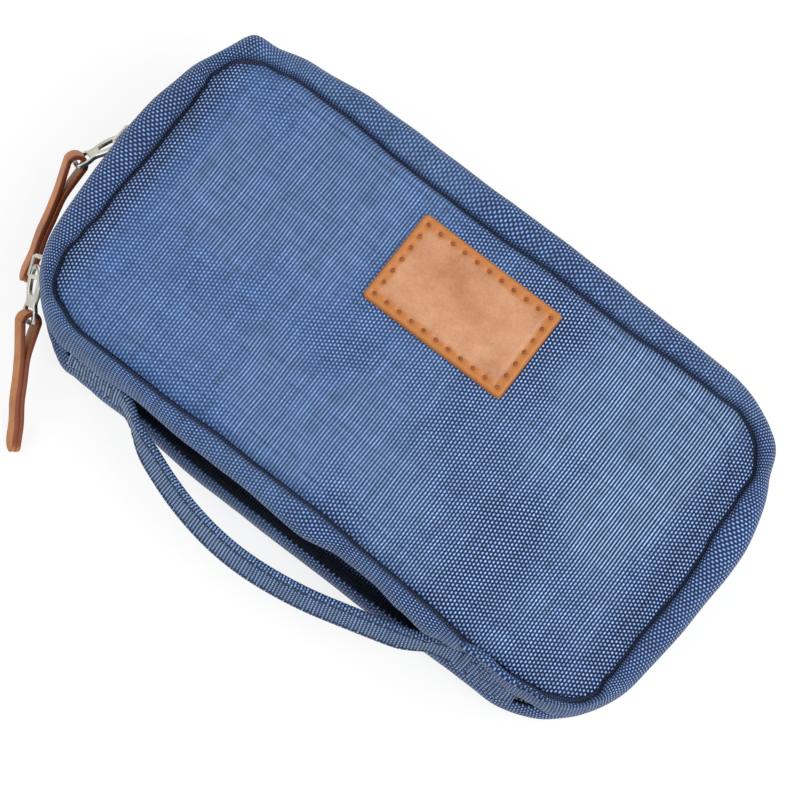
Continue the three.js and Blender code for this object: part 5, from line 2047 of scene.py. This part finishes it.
@dataclass
class Studio:
    """White floor, soft lamps and the photograph's camera."""

    azimuth: float = 15.2
    elevation: float = 81.0
    roll: float = 22.6
    distance: float = 674.5
    lens: float = 100.2
    target: float = 23.0
    shift: Pair = (-1.03, -5.0)
    sensor: float = 36.0
    soft_light: float = 0.42
    floor_drop: float = 0.3  # under the case, so the two don't share a plane
    # Name, place, size and watts of each softbox.
    lamps: tuple[tuple[str, Triple, float, float], ...] = (
        ("key_softbox", (560, 180, 820), 700, 7.6), ("fill_softbox", (-480, -520, 800), 800, 3.4),
        ("end_softbox", (-850, 150, 420), 500, 1.6))

    def build(self) -> None:
        """Floor, world, lamps and camera."""
        self.build_floor()
        self.build_world()
        for lamp in self.lamps:
            self.add_lamp(*lamp)
        self.build_camera()

    def build_floor(self) -> None:
        """The paper floor under the case."""
        mesh = bmesh.new()
        bmesh.ops.create_grid(mesh, x_segments=2, y_segments=2, size=3.0)
        bmesh.ops.translate(mesh, verts=mesh.verts, vec=(0, 0, -self.floor_drop * MM))
        data = bpy.data.meshes.new("paper_floor")
        mesh.to_mesh(data)
        mesh.free()
        data.materials.append(Finishes.floor.material)
        floor = bpy.data.objects.new("paper_floor", data)
        bpy.context.scene.collection.objects.link(floor)

    def build_world(self) -> None:
        """White background for the camera and the gloss, and plain soft light for the rest."""
        world = bpy.data.worlds.new("studio")
        world.use_nodes = True
        tree = world.node_tree
        tree.nodes.clear()
        add = partial(add_node, tree)
        path = add("LightPath")
        seen = add("Math", {"operation": "MAXIMUM"},
                   {0: path.outputs["Is Camera Ray"], 1: path.outputs["Is Transmission Ray"]})
        either = add("Math", {"operation": "MAXIMUM"},
                     {0: seen, 1: path.outputs["Is Glossy Ray"]})
        soft = add("Background", {}, {"Color": linear("#FFFFFF"), "Strength": self.soft_light})
        white = add("Background", {}, {"Color": linear("#FFFFFF"), "Strength": 1.0})
        mixed = add("MixShader", {}, {0: either, 1: soft, 2: white})
        add("OutputWorld", {}, {"Surface": mixed})
        bpy.context.scene.world = world

    def add_lamp(self, name: str, place: Triple, size: float, power: float) -> None:
        """Add a square soft lamp that faces the case.

        Args:
            name: the lamp's name.
            place: where it stands, in millimetres.
            size: its side in millimetres.
            power: its watts.
        """
        lamp = bpy.data.lights.new(name, "AREA")
        lamp.shape, lamp.size, lamp.energy = "SQUARE", size * MM, power
        made = bpy.data.objects.new(name, lamp)
        made.location = Vector(place) * MM
        made.rotation_euler = (-Vector(place)).to_track_quat("-Z", "Y").to_euler()
        bpy.context.scene.collection.objects.link(made)

    def build_camera(self) -> None:
        """The camera at the photograph's view."""
        az, el, roll = (math.radians(value) for value in (self.azimuth, self.elevation, self.roll))
        back = Vector((math.sin(az) * math.cos(el), -math.cos(az) * math.cos(el), math.sin(el)))
        right = Vector((math.cos(az), math.sin(az), 0))
        up = back.cross(right)
        x = right * math.cos(roll) + up * math.sin(roll)
        y = up * math.cos(roll) - right * math.sin(roll)
        place = back * self.distance + Vector((0, 0, self.target)) + x * self.shift[0] + y * self.shift[1]
        data = bpy.data.cameras.new("photo_camera")
        data.lens, data.sensor_width = self.lens, self.sensor
        camera = bpy.data.objects.new("photo_camera", data)
        turn = Matrix((x, y, back)).transposed().to_4x4()
        camera.matrix_world = Matrix.Translation(place * MM) @ turn
        bpy.context.scene.collection.objects.link(camera)
        bpy.context.scene.camera = camera


def main() -> None:
    """Build the case from its halves outwards, then the studio."""
    logging.basicConfig(level=logging.INFO, format="%(name)s %(message)s")
    outline = Outline()
    far, near = (outline.chain_distance(y) for y in SLIDERS_Y)
    for half in Half:
        HalfShell(half, far_slider=far, near_slider=near).build()
    Spine().build()
    CarryStrap().build()
    ZipPull("far", far, ring_swing=28, leather_swing=-10).build()
    ZipPull("near", near, ring_swing=-3, leather_swing=-3).build()
    LeatherLabel().build()
    Interior().build()
    Studio().build()
    scene = bpy.context.scene
    scene.view_settings.view_transform = "Standard"


if __name__ == "__main__":
    main()
